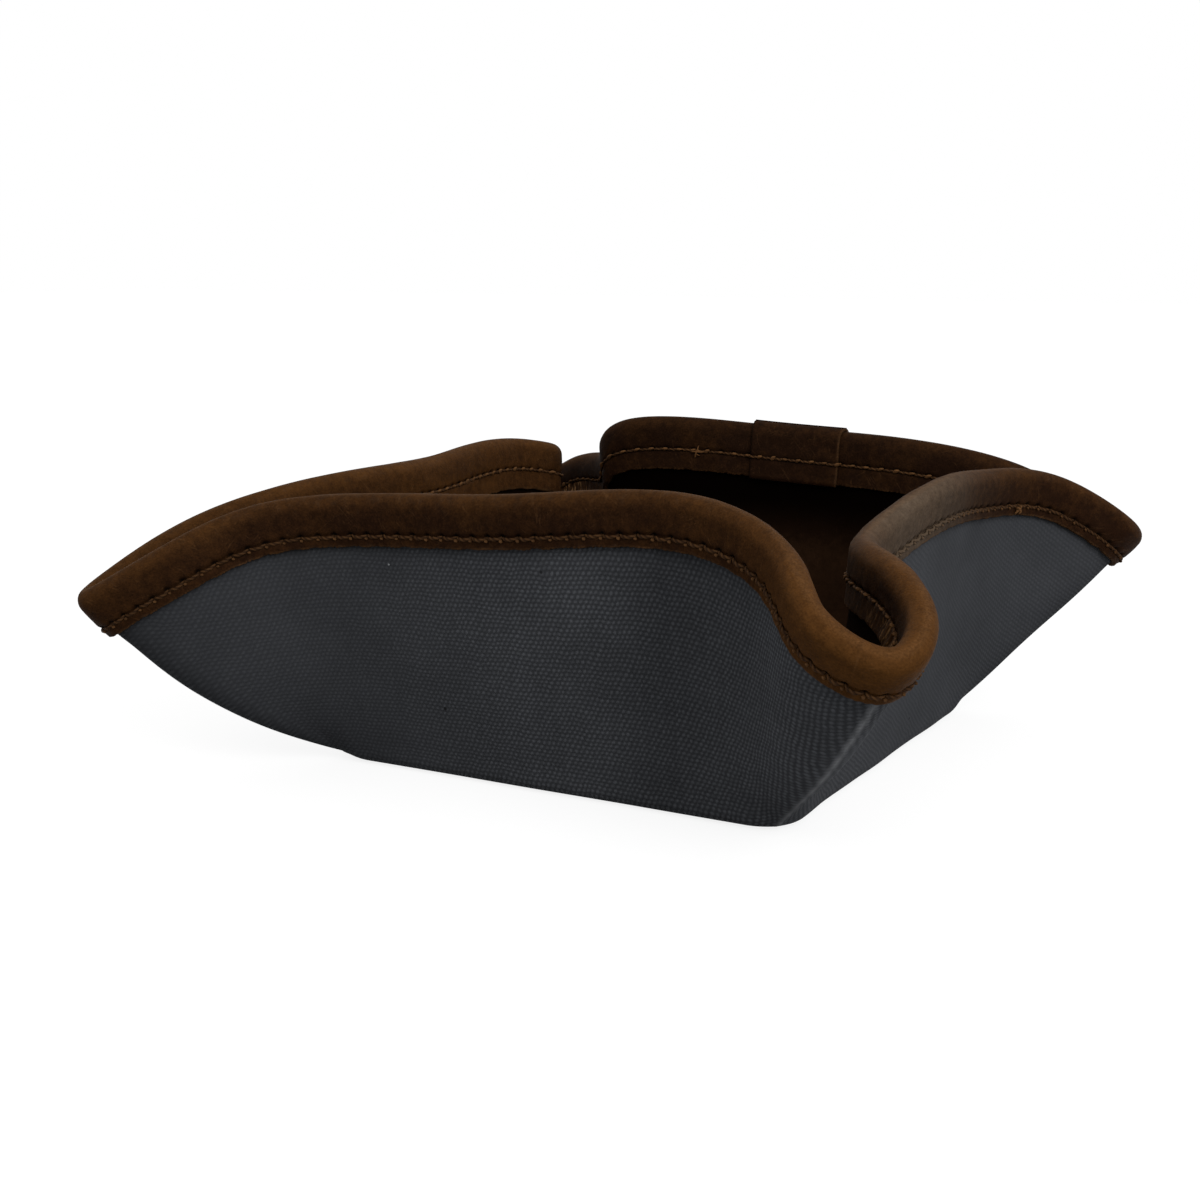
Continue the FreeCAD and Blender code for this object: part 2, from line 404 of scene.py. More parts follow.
    def place(self, u: Array, w: Array) -> Array:
        """Points of the sheet.

        Args:
            u: Places round the rim.
            w: Places up the wall, in rows that each match u.

        Returns:
            Points in rows and columns.
        """
        foot, start, top = self.wall(u)
        outwards = self.base(u)[1]
        tangent = self.crest(u + self.tangent_step) - self.crest(u - self.tangent_step)
        side = unit(np.cross(tangent, unit(top - foot)))
        share = np.clip(w - 1, 0, None)[..., None]
        swelling = 4 * self.belly(u)[:, None] * share * (1 - share)
        rise = start + (top - start) * share + side * swelling
        turn = np.clip(w, 0, 1)[..., None]
        keep = 1 - turn
        bend = (foot - outwards * self.fold) * keep ** 2 + foot * 2 * keep * turn + start * turn ** 2
        return np.where(w[..., None] < 1, bend, rise)

    def outward(self, u: Array, w: Array) -> Array:
        """Directions out of the sheet.

        Args:
            u: Places round the rim.
            w: Places up the wall, in rows that each match u.

        Returns:
            Unit vectors in rows and columns.
        """
        along = self.place(u + self.normal_step, w) - self.place(u - self.normal_step, w)
        upward = (self.place(u, np.minimum(w + self.normal_lift, 2.0))
                  - self.place(u, np.maximum(w - self.normal_lift, 0.0)))
        return unit(np.cross(along, upward))

    def under_crest(self, u: Array, depth: Array) -> Array:
        """Places up the wall at depths under the crest, in rows."""
        return 2 - depth / self.height(u)

    def cloth(self, u: Array, w: Array) -> Array:
        """Where points of the sheet lay on the flat cut.

        Args:
            u: Places round the rim.
            w: Places up the wall, in rows that each match u.

        Returns:
            Points of the flat cut in rows and columns.
        """
        foot, start, top = self.wall(u)
        edge = foot - self.base(u)[1] * self.fold
        edge[..., 2] = 0
        fold = self.fold_run * self.fold
        wall = np.linalg.norm(top - start, axis=-1)
        run = (fold * np.clip(w, 0, 1) + wall * np.clip(w - 1, 0, 1)) / (fold + wall)
        return edge + (self.flat_rim(u) - edge) * run[..., None]

    def ear_mask(self, u: Array, width: float) -> Array:
        """1 on the ears' tips, falling to 0 at a width in half ears."""
        return bump(1 - self.ear_share(u)[2], width)


def ring_faces(rows: int, columns: int, looped: bool) -> list[list[int]]:
    """Quads between rows that run right round.

    Args:
        rows: How many rows.
        columns: Points in each row.
        looped: Whether the last row joins the first.

    Returns:
        Corner numbers of each quad.
    """
    low = np.arange(rows if looped else rows - 1)[:, None]
    high = (low + 1) % rows
    here = np.arange(columns)[None, :]
    after = (here + 1) % columns
    corners = [low * columns + here, low * columns + after,
               high * columns + after, high * columns + here]
    return np.stack(corners, -1).reshape(-1, 4).tolist()


@dataclass
class Piece:
    """A mesh on its way into the scene, with values on its points.

    Attributes:
        name: Name of the object.
        points: Points in mm.
        faces: Corner numbers.
        values: Numbers or vectors on the points, by name.
    """

    name: str
    points: Array
    faces: list[list[int]]
    values: dict[str, Array] = field(default_factory=dict)

    def make(self, material: bpy.types.Material, node: str) -> bpy.types.Object:
        """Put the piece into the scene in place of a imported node.

        Args:
            material: Finish of the whole piece.
            node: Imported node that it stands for.

        Returns:
            The new object.
        """
        mesh = bpy.data.meshes.new(self.name)
        mesh.from_pydata((self.points * MM).tolist(), [], self.faces)
        for name, value in self.values.items():
            kind = "FLOAT" if value.ndim == 1 else "FLOAT_VECTOR"
            layer = mesh.attributes.new(name, kind, "POINT")
            layer.data.foreach_set("value" if value.ndim == 1 else "vector",
                                   np.ascontiguousarray(value, dtype=np.float32).ravel())
        mesh.polygons.foreach_set("use_smooth", np.ones(len(mesh.polygons), dtype=bool))
        mesh.materials.append(material)
        mesh.validate()
        piece = bpy.data.objects.new(self.name, mesh)
        bpy.context.scene.collection.objects.link(piece)
        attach(piece, BODY)
        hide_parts(node)
        LOG.info("%s: %d points, %d faces", self.name, len(mesh.vertices), len(mesh.polygons))
        return piece


class Sketch:
    """Short way to lay nodes into one node tree."""

    def __init__(self, tree: bpy.types.NodeTree) -> None:
        """Start on a tree."""
        self.tree = tree

    def node(self, kind: str, **settings: object) -> bpy.types.Node:
        """Add a node.

        Args:
            kind: The node's type.
            **settings: Its properties by name.

        Returns:
            The new node.
        """
        made = self.tree.nodes.new(kind)
        for name, value in settings.items():
            setattr(made, name, value)
        return made

    def feed(self, socket: Socket, value: Feed) -> None:
        """Link a socket into another, or set its plain value.

        Args:
            socket: The input that is fed.
            value: An output to link, or a plain value.
        """
        if isinstance(value, bpy.types.NodeSocket):
            self.tree.links.new(value, socket)
        else:
            socket.default_value = value

    def math(self, operation: str, first: Feed, second: Feed = 0.0,
             clamp: bool = False) -> Socket:
        """Result of one Math node.

        Args:
            operation: What the node does.
            first: Its first value.
            second: Its second value.
            clamp: Whether the result is held between 0 and 1.

        Returns:
            The node's output.
        """
        made = self.node("ShaderNodeMath", operation=operation, use_clamp=clamp)
        self.feed(made.inputs[0], first)
        self.feed(made.inputs[1], second)
        return made.outputs[0]

    def span(self, value: Feed, low: float, high: float, first: float = 0.0,
             last: float = 1.0) -> Socket:
        """Value mapped smoothly from one range to another, and held there.

        Args:
            value: What is mapped.
            low: Start of its range.
            high: End of its range.
            first: Result at the start.
            last: Result at the end.

        Returns:
            The mapped value.
        """
        made = self.node("ShaderNodeMapRange", interpolation_type="SMOOTHSTEP")
        for number, part in enumerate((value, low, high, first, last)):
            self.feed(made.inputs[number], part)
        return made.outputs[0]

    def total(self, start: Feed, *parts: tuple[Feed, float]) -> Socket:
        """Weighted sum.

        Args:
            start: What the sum starts with.
            *parts: Values with their weights.

        Returns:
            The sum.
        """
        for value, weight in parts:
            start = self.math("ADD", self.math("MULTIPLY", value, weight), start)
        return start

    def stretch(self, vector: Feed, lengths: Sequence[float], turn: float = 0.0) -> Socket:
        """Vector turned about Z and measured in a length of its own along each axis.

        Args:
            vector: What is measured.
            lengths: The length along each axis.
            turn: The turn in radians.

        Returns:
            The measured vector.
        """
        made = self.node("ShaderNodeMapping", vector_type="TEXTURE")
        self.feed(made.inputs["Vector"], vector)
        made.inputs["Rotation"].default_value = (0, 0, turn)
        made.inputs["Scale"].default_value = lengths
        return made.outputs[0]

    def noise(self, vector: Feed, scale: float, detail: float = 2.0,
              roughness: float = 0.5) -> Socket:
        """Value of a noise texture.

        Args:
            vector: Where it is read.
            scale: How often it changes.
            detail: How many finer layers it has.
            roughness: How strong these are.

        Returns:
            The noise, from 0 to 1.
        """
        made = self.node("ShaderNodeTexNoise")
        self.feed(made.inputs["Vector"], vector)
        made.inputs["Scale"].default_value = scale
        made.inputs["Detail"].default_value = detail
        made.inputs["Roughness"].default_value = roughness
        return made.outputs["Fac"]

    def mix(self, factor: Feed, first: Feed, second: Feed) -> Socket:
        """Colour mixed from two.

        Args:
            factor: Share of the second colour.
            first: The first colour.
            second: The second colour.

        Returns:
            The mixed colour.
        """
        made = self.node("ShaderNodeMix", data_type="RGBA")
        self.feed(made.inputs["Factor"], factor)
        for socket, value in ((made.inputs[6], first), (made.inputs[7], second)):
            if isinstance(value, bpy.types.NodeSocket):
                self.feed(socket, value)
            else:
                self.feed(socket, (*value[:3], 1.0))
        return made.outputs[2]

    def value(self, name: str, vector: bool = False) -> Socket:
        """Value kept on the mesh's points."""
        made = self.node("ShaderNodeAttribute", attribute_name=name)
        return made.outputs["Vector" if vector else "Fac"]

    def scaled(self, vector: Socket, scale: Feed) -> Socket:
        """Vector or colour times a value.

        Args:
            vector: The vector or colour.
            scale: The value.

        Returns:
            The product.
        """
        made = self.node("ShaderNodeVectorMath", operation="SCALE")
        self.feed(made.inputs[0], vector)
        self.feed(made.inputs["Scale"], scale)
        return made.outputs[0]

    def relief(self, height: Feed, depth: float) -> Socket:
        """Normal of a bump.

        Args:
            height: Height from 0 to 1.
            depth: Height in mm at 1.

        Returns:
            The normal.
        """
        made = self.node("ShaderNodeBump")
        made.inputs["Distance"].default_value = depth * MM
        self.feed(made.inputs["Height"], height)
        return made.outputs["Normal"]


class Effect:
    """A shader node group that is built once and placed in several finishes."""

    title: str = ""
    takes: dict[str, str] = {}
    gives: tuple[str, ...] = ()

    def group(self) -> bpy.types.NodeTree:
        """The group, built at its first use.

        Returns:
            The group's node tree.
        """
        known = bpy.data.node_groups.get(self.title)
        if known:
            return known
        tree = bpy.data.node_groups.new(self.title, "ShaderNodeTree")
        for name, kind in self.takes.items():
            tree.interface.new_socket(name, in_out="INPUT", socket_type=kind)
        for name in self.gives:
            tree.interface.new_socket(name, in_out="OUTPUT", socket_type="NodeSocketFloat")
        sketch = Sketch(tree)
        entry, leave = sketch.node("NodeGroupInput"), sketch.node("NodeGroupOutput")
        results = self.draw(sketch, {name: entry.outputs[name] for name in self.takes})
        for name, socket in results.items():
            sketch.feed(leave.inputs[name], socket)
        return tree

    def draw(self, sketch: Sketch, given: dict[str, Socket]) -> dict[str, Socket]:
        """Lay the group's nodes from its inputs, and tell what feeds each output."""
        raise NotImplementedError

    def place(self, sketch: Sketch, **feeds: Feed) -> dict[str, Socket]:
        """Put the group into a material.

        Args:
            sketch: The material's nodes.
            **feeds: Value or socket for each input, by its name in lower case.

        Returns:
            The group's outputs by name.
        """
        made = sketch.node("ShaderNodeGroup", node_tree=self.group())
        for name in self.takes:
            if name.lower() in feeds:
                sketch.feed(made.inputs[name], feeds[name.lower()])
        return {name: made.outputs[name] for name in self.gives}


class WovenThreads(Effect):
    """Plain weave: staggered rows of dots where an end passes over a pick, leaning a little."""

    title = "woven_threads"
    takes = {"Cloth": "NodeSocketVector", "Ends": "NodeSocketFloat", "Picks": "NodeSocketFloat"}
    gives = ("Height", "Thread")
    sway_often = 0.22
    sway_reach = 1.1
    fibre_often = 3.4
    height_range = (0.08, 0.98)

    def draw(self, sketch: Sketch, given: dict[str, Socket]) -> dict[str, Socket]:
        """Waves along both diagonals and along the picks, and tones by thread and by crossing.

        Args:
            sketch: Where the nodes go.
            given: The group's inputs by name.

        Returns:
            What feeds each of the group's outputs, by name.
        """
        sway = sketch.node("ShaderNodeTexNoise")
        sketch.feed(sway.inputs["Vector"], given["Cloth"])
        sway.inputs["Scale"].default_value = self.sway_often
        moved = sketch.node("ShaderNodeVectorMath", operation="ADD")
        sketch.feed(moved.inputs[0], given["Cloth"])
        sketch.feed(moved.inputs[1], sketch.scaled(sway.outputs["Color"], self.sway_reach))
        split = sketch.node("ShaderNodeSeparateXYZ")
        sketch.feed(split.inputs[0], moved.outputs[0])
        crossing = sketch.node("ShaderNodeCombineXYZ")
        turns, tones = [], []
        for axis, pitch, seed in ((0, "Ends", 0.37), (1, "Picks", 0.71)):
            place = sketch.math("DIVIDE", split.outputs[axis], given[pitch])
            count = sketch.math("ADD", sketch.math("ROUND", place), seed)
            dice = sketch.node("ShaderNodeTexWhiteNoise", noise_dimensions="1D")
            sketch.feed(dice.inputs["W"], count)
            sketch.feed(crossing.inputs[axis], count)
            turns.append(sketch.math("MULTIPLY", place, math.pi))
            tones.append(dice.outputs["Value"])
        spot = sketch.node("ShaderNodeTexWhiteNoise", noise_dimensions="2D")
        sketch.feed(spot.inputs["Vector"], crossing.outputs[0])
        lean = sketch.math("COSINE", sketch.math("ADD", *turns))
        counter = sketch.math("COSINE", sketch.math("SUBTRACT", *turns))
        row = sketch.math("COSINE", sketch.math("MULTIPLY", turns[1], 2.0))
        fibre = sketch.noise(given["Cloth"], self.fibre_often, 3.0, 0.7)
        wave = sketch.total(0.35, (lean, 0.21), (counter, 0.09), (row, 0.15), (fibre, 0.30))
        height = sketch.span(wave, *self.height_range)
        thread = sketch.total(0.0, (tones[0], 0.24), (tones[1], 0.20), (spot.outputs["Value"], 0.56))
        return {"Height": height, "Thread": thread}


class HideGrain(Effect):
    """Grain, mottling and cloudy colour of a hide."""

    title = "hide_grain"
    takes = {"Place": "NodeSocketVector", "Size": "NodeSocketFloat"}
    gives = ("Height", "Cloud", "Mottle", "Fine")
    pebble_softness = 0.6
    fine_often = 0.9
    mottle_often = 0.21
    cloud_often = 0.09

    def draw(self, sketch: Sketch, given: dict[str, Socket]) -> dict[str, Socket]:
        """Pebbles of a given size with finer noise, mottling and slow clouds.

        Args:
            sketch: Where the nodes go.
            given: The group's inputs by name.

        Returns:
            What feeds each of the group's outputs, by name.
        """
        pebble_place = sketch.scaled(given["Place"], sketch.math("DIVIDE", 1.0, given["Size"]))
        pebbles = sketch.node("ShaderNodeTexVoronoi", feature="SMOOTH_F1")
        sketch.feed(pebbles.inputs["Vector"], pebble_place)
        pebbles.inputs["Scale"].default_value = 1.0
        pebbles.inputs["Smoothness"].default_value = self.pebble_softness
        fine = sketch.noise(pebble_place, self.fine_often, 4.0, 0.7)
        mottle = sketch.noise(pebble_place, self.mottle_often, 6.0, 0.72)
        cloud = sketch.noise(given["Place"], self.cloud_often, 4.0, 0.6)
        dome = sketch.math("SUBTRACT", 1.0, pebbles.outputs["Distance"])
        height = sketch.total(0.0, (dome, 0.5), (fine, 0.5))
        return {"Height": height, "Cloud": cloud, "Mottle": mottle, "Fine": fine}


class RubMarks(Effect):
    """Rubbed patches, and fine scratches in three directions."""

    title = "rub_marks"
    takes = {"Place": "NodeSocketVector", "Wear": "NodeSocketFloat"}
    gives = ("Rub", "Scratch")
    patch_often = 0.55
    patch_softness = 0.22
    directions = ((0.5, (9, 0.7, 1)), (-0.9, (12, 0.9, 1)), (1.7, (7, 0.8, 1)))
    line_width = 0.016
    group_often = 0.21
    group_range = (0.52, 0.66)

    def draw(self, sketch: Sketch, given: dict[str, Socket]) -> dict[str, Socket]:
        """Patches where the wear passes a noise, and lines where stretched noises cross 0.5.

        Args:
            sketch: Where the nodes go.
            given: The group's inputs by name.

        Returns:
            What feeds each of the group's outputs, by name.
        """
        patch = sketch.noise(given["Place"], self.patch_often, 6.0, 0.68)
        need = sketch.math("SUBTRACT", sketch.math("ADD", given["Wear"], patch), 1.0)
        rub = sketch.span(need, -self.patch_softness, self.patch_softness)
        lines = []
        for turn, lengths in self.directions:
            streak = sketch.noise(sketch.stretch(given["Place"], lengths, turn), 1.0, 1.0)
            near = sketch.math("ABSOLUTE", sketch.math("SUBTRACT", streak, 0.5))
            line = sketch.span(near, 0.0, self.line_width, 1.0, 0.0)
            turned = sketch.stretch(given["Place"], (1, 1, 1), turn)
            some = sketch.span(sketch.noise(turned, self.group_often), *self.group_range)
            lines.append(sketch.math("MULTIPLY", line, some))
        scratch = sketch.math("MAXIMUM", sketch.math("MAXIMUM", lines[0], lines[1]), lines[2])
        return {"Rub": rub, "Scratch": scratch}


WEAVE = WovenThreads()
GRAIN = HideGrain()
MARKS = RubMarks()


@dataclass(frozen=True)
class Finish:
    """A finish: its name and the plain values of its shader."""

    name: str
    gloss: float
    rough: float

    def start(self) -> tuple[bpy.types.Material, Sketch, bpy.types.Node]:
        """Begin a material, with the plain values set.

        Returns:
            The material, its nodes and its shader.
        """
        material = bpy.data.materials.new(self.name)
        material.use_nodes = True
        sketch = Sketch(material.node_tree)
        shader = material.node_tree.nodes["Principled BSDF"]
        shader.inputs["Roughness"].default_value = self.rough
        shader.inputs["Specular IOR Level"].default_value = self.gloss
        return material, sketch, shader

    def material(self) -> bpy.types.Material:
        """The finished material."""
        raise NotImplementedError


@dataclass(frozen=True)
class WaxedDuck(Finish):
    """Charcoal duck canvas, waxed, rubbed light on its creases and hazed by its wax."""

    name: str = "waxed_duck"
    gloss: float = 0.04
    rough: float = 0.9
    ends: float = 0.51
    picks: float = 0.83
    shade: Colour = (0.0272, 0.0284, 0.0313)
    thread: Colour = (0.0640, 0.0668, 0.0736)
    hazed: float = 0.58
    chalk: Colour = (0.150, 0.154, 0.162)
    lint: Colour = (0.30, 0.31, 0.32)
    speck: Colour = (0.009, 0.009, 0.009)
    dot_tones: tuple[float, float] = (0.42, 0.95)
    rub_share: float = 0.55
    dark_specks: tuple[float, float] = (0.11, 0.45)
    lint_specks: tuple[float, float] = (0.075, 0.26)
    cloud_often: float = 0.045
    cloud_tones: tuple[float, float] = (0.90, 1.08)
    rough_range: tuple[float, float] = (0.97, 0.82)
    haze_flattens: float = 0.85
    relief_depth: float = 0.14

    @staticmethod
    def specks(sketch: Sketch, cloth: Socket, often: float, radius: float) -> Socket:
        """Sparse specks, in half of the cells of a given number to the mm.

        Args:
            sketch: The material's nodes.
            cloth: Places on the flat cut.
            often: Cells to the mm.
            radius: Radius of a speck, in mm.

        Returns:
            Up to 0.8 on the specks, 0 elsewhere.
        """
        cells = sketch.node("ShaderNodeTexVoronoi")
        sketch.feed(cells.inputs["Vector"], cloth)
        cells.inputs["Scale"].default_value = often
        split = sketch.node("ShaderNodeSeparateColor")
        sketch.feed(split.inputs[0], cells.outputs["Color"])
        near = sketch.span(cells.outputs["Distance"], 0.6 * radius * often, radius * often, 0.8, 0.0)
        return sketch.math("MULTIPLY", near, sketch.math("GREATER_THAN", split.outputs[0], 0.5))

    def material(self) -> bpy.types.Material:
        """Threads shaded between their gaps and tops, with specks, rubbing and lint, and painted light and
        shade by place.

        Returns:
            The finished material.
        """
        material, sketch, shader = self.start()
        cloth = sketch.value("cloth", True)
        weave = WEAVE.place(sketch, cloth=cloth, ends=self.ends, picks=self.picks)
        marks = MARKS.place(sketch, place=cloth, wear=sketch.value("wear"))
        haze = sketch.value("haze")
        least, added = self.dot_tones
        dot = sketch.math("MULTIPLY", weave["Height"], sketch.total(least, (weave["Thread"], added)))
        dot = sketch.math("ADD", dot, sketch.math(
            "MULTIPLY", haze, sketch.math("SUBTRACT", self.hazed, dot)))
        colour = sketch.mix(dot, self.shade, self.thread)
        colour = sketch.mix(self.specks(sketch, cloth, *self.dark_specks), colour, self.speck)
        rubbed = sketch.math("MULTIPLY", marks["Rub"], weave["Height"])
        rubbed = sketch.math("MULTIPLY", rubbed, self.rub_share)
        colour = sketch.mix(sketch.math("MAXIMUM", rubbed, sketch.value("line")), colour, self.chalk)
        colour = sketch.mix(self.specks(sketch, cloth, *self.lint_specks), colour, self.lint)
        cloud = sketch.noise(cloth, self.cloud_often, 4.0, 0.6)
        cloud = sketch.span(cloud, *NOISE_RANGE, *self.cloud_tones)
        # Colour scaled by its cloudy tone and by the painted light and shade kept on the mesh.
        tone_with_painted_light = sketch.math("MULTIPLY", cloud, sketch.value("tone_with_painted_light"))
        sketch.feed(shader.inputs["Base Color"], sketch.scaled(colour, tone_with_painted_light))
        sketch.feed(shader.inputs["Roughness"], sketch.span(weave["Height"], 0.0, 1.0, *self.rough_range))
        flat = sketch.total(1.0, (haze, -self.haze_flattens))
        height = sketch.math("MULTIPLY", weave["Height"], flat)
        sketch.feed(shader.inputs["Normal"], sketch.relief(height, self.relief_depth))
        return material


@dataclass(frozen=True)
class PullUpHide(Finish):
    """Oiled leather that turns lighter where it is bent or scuffed, painted dark as shade in its holes and
    hollows.
    """

    name: str = "pull_up_hide"
    gloss: float = 0.015
    rough: float = 0.62
    grain: float = 0.36
    dark: Colour = (0.0146, 0.0060, 0.0027)
    bent: Colour = (0.063, 0.0256, 0.0066)
    raw: Colour = (0.105, 0.050, 0.019)
    torn: Colour = (0.270, 0.142, 0.060)
    scuff: Colour = (0.044, 0.027, 0.0165)
    bloom_and_sheen: Colour = (0.085, 0.0625, 0.0435)
    # Near black: painted shade in needle holes and hollows.
    hole: Colour = (0.002, 0.0012, 0.0008)
    rub_share: float = 0.5
    scratch_share: float = 0.22
    scratch_depth: float = 0.35
    bloom_and_sheen_share: float = 0.85
    bloom_and_sheen_tones: tuple[float, float] = (0.78, 1.0)
    fibre_tones: tuple[float, float] = (0.3, 1.0)
    painted_shade_share: float = 0.93
    crease_lengths: tuple[float, float, float] = (0.9, 3.4, 1.0)
    crease_turn: float = 0.15
    crease_range: tuple[float, float] = (0.53, 0.62)
    nap_tones: tuple[float, float] = (0.68, 1.34)
    relief_depth: float = 0.07

    def material(self) -> bpy.types.Material:
        """Dark oil with lighter bends, mottling, raw edges, scuffs and scratches, bloomed wax with painted
        sheen, and painted shade in holes and hollows.

        Returns:
            The finished material.
        """
        material, sketch, shader = self.start()
        place = sketch.value("hide", True)
        grain = GRAIN.place(sketch, place=place, size=self.grain)
        marks = MARKS.place(sketch, place=place, wear=sketch.value("wear"))
        bend = sketch.math("ADD", sketch.value("bend"), sketch.total(
            -0.85, (grain["Cloud"], 0.8), (grain["Mottle"], 0.6), (grain["Fine"], 0.3)), clamp=True)
        colour = sketch.mix(bend, self.dark, self.bent)
        colour = sketch.mix(sketch.math("MULTIPLY", marks["Rub"], self.rub_share), colour, self.scuff)
        scratch = sketch.math("MULTIPLY", marks["Scratch"], self.scratch_share)
        colour = sketch.mix(scratch, colour, self.raw)
        # Bloomed wax on the right side, partly a painted sheen.
        bloom_and_sheen_mask = sketch.span(grain["Mottle"], *NOISE_RANGE, *self.bloom_and_sheen_tones)
        bloom_and_sheen_mask = sketch.math("MULTIPLY", sketch.value("bloom_and_sheen"), bloom_and_sheen_mask)
        colour = sketch.mix(sketch.math("MULTIPLY", bloom_and_sheen_mask, self.bloom_and_sheen_share), colour, self.bloom_and_sheen)
        fibre = sketch.span(grain["Fine"], *NOISE_RANGE, *self.fibre_tones)
        colour = sketch.mix(sketch.math("MULTIPLY", sketch.value("raw"), fibre), colour, self.raw)
        # Painted shade from the pit value, towards near black.
        pit = sketch.math("MULTIPLY", sketch.value("pit"), self.painted_shade_share)
        colour = sketch.mix(pit, colour, self.hole)
        crease = sketch.stretch(place, self.crease_lengths, self.crease_turn)
        crease = sketch.span(sketch.noise(crease, 1.0, 3.0, 0.6), *self.crease_range)
        colour = sketch.mix(sketch.math("MULTIPLY", sketch.value("pleat"), crease), colour, self.torn)
        nap = sketch.total(0.0, (grain["Mottle"], 0.5), (grain["Fine"], 0.5))
        nap = sketch.span(nap, *NOISE_RANGE, *self.nap_tones)
        sketch.feed(shader.inputs["Base Color"], sketch.scaled(colour, nap))
        sketch.feed(shader.inputs["Roughness"], sketch.total(
            self.rough - 0.1, (grain["Fine"], 0.2), (marks["Rub"], 0.12)))
        height = sketch.total(grain["Height"], (marks["Scratch"], -self.scratch_depth))
        sketch.feed(shader.inputs["Normal"], sketch.relief(height, self.relief_depth))
        return material


@dataclass(frozen=True)
class LiningHide(Finish):
    """Smooth dark brown lining leather, satin, painted near black as shade and lighter where painted light
    and wear lie.
    """

    name: str = "lining_hide"
    gloss: float = 0.004
    rough: float = 0.55
    grain: float = 0.7
    # Near black: painted shade.
    dark: Colour = (0.0010, 0.0004, 0.0002)
    worn_and_lit: Colour = (0.044, 0.0210, 0.0104)
    rough_below: float = 0.06
    rough_above: float = 0.12
    rough_noise: tuple[float, float] = (0.25, 0.75)
    relief_depth: float = 0.06

    def material(self) -> bpy.types.Material:
        """Cloudy tone, painted near black as shade and lighter where painted light and wear lie, with
        faint scratches on the floor.

        Returns:
            The finished material.
        """
        material, sketch, shader = self.start()
        place = sketch.value("cloth", True)
        wear = sketch.value("wear")
        grain = GRAIN.place(sketch, place=place, size=self.grain)
        marks = MARKS.place(sketch, place=place, wear=wear)
        # Painted light and wear lift the colour from near black, which is painted shade.
        tone = sketch.math("MULTIPLY", wear, sketch.total(
            0.0, (grain["Cloud"], 0.5), (grain["Mottle"], 0.35), (marks["Rub"], 0.3),
            (marks["Scratch"], 0.25)), clamp=True)
        sketch.feed(shader.inputs["Base Color"], sketch.mix(tone, self.dark, self.worn_and_lit))
        rough = sketch.span(grain["Fine"], *self.rough_noise,
                            self.rough - self.rough_below, self.rough + self.rough_above)
        sketch.feed(shader.inputs["Roughness"], rough)
        sketch.feed(shader.inputs["Normal"], sketch.relief(grain["Height"], self.relief_depth))
        return material


@dataclass(frozen=True)
class WaxedThread(Finish):
    """Plied brown thread, painted dark as shade between its plies."""

    name: str = "waxed_thread"
    gloss: float = 0.05
    rough: float = 0.7
    dark: Colour = (0.0115, 0.0050, 0.0023)
    light: Colour = (0.120, 0.056, 0.020)
    bloom_and_sheen: Colour = (0.086, 0.061, 0.040)
    bloom_and_sheen_share: float = 0.75
    rough_gap: float = 0.8

    def material(self) -> bpy.types.Material:
        """Ply by ply tone from the twist, painted darker between the plies as shade, a different tone for
        each stitch, and bloomed wax with painted sheen.

        Returns:
            The finished material.
        """
        material, sketch, shader = self.start()
        ply = sketch.value("ply")
        # Darker between the plies: painted shade.
        tone = sketch.math("MULTIPLY", ply, sketch.value("tone"), clamp=True)
        # Bloomed wax on the right side, partly a painted sheen.
        bloom_and_sheen_mask = sketch.math("MULTIPLY", sketch.value("bloom_and_sheen"), self.bloom_and_sheen_share)
        colour = sketch.mix(bloom_and_sheen_mask, sketch.mix(tone, self.dark, self.light), self.bloom_and_sheen)
        sketch.feed(shader.inputs["Base Color"], colour)
        sketch.feed(shader.inputs["Roughness"], sketch.span(ply, 0, 1, self.rough_gap, self.rough))
        return material


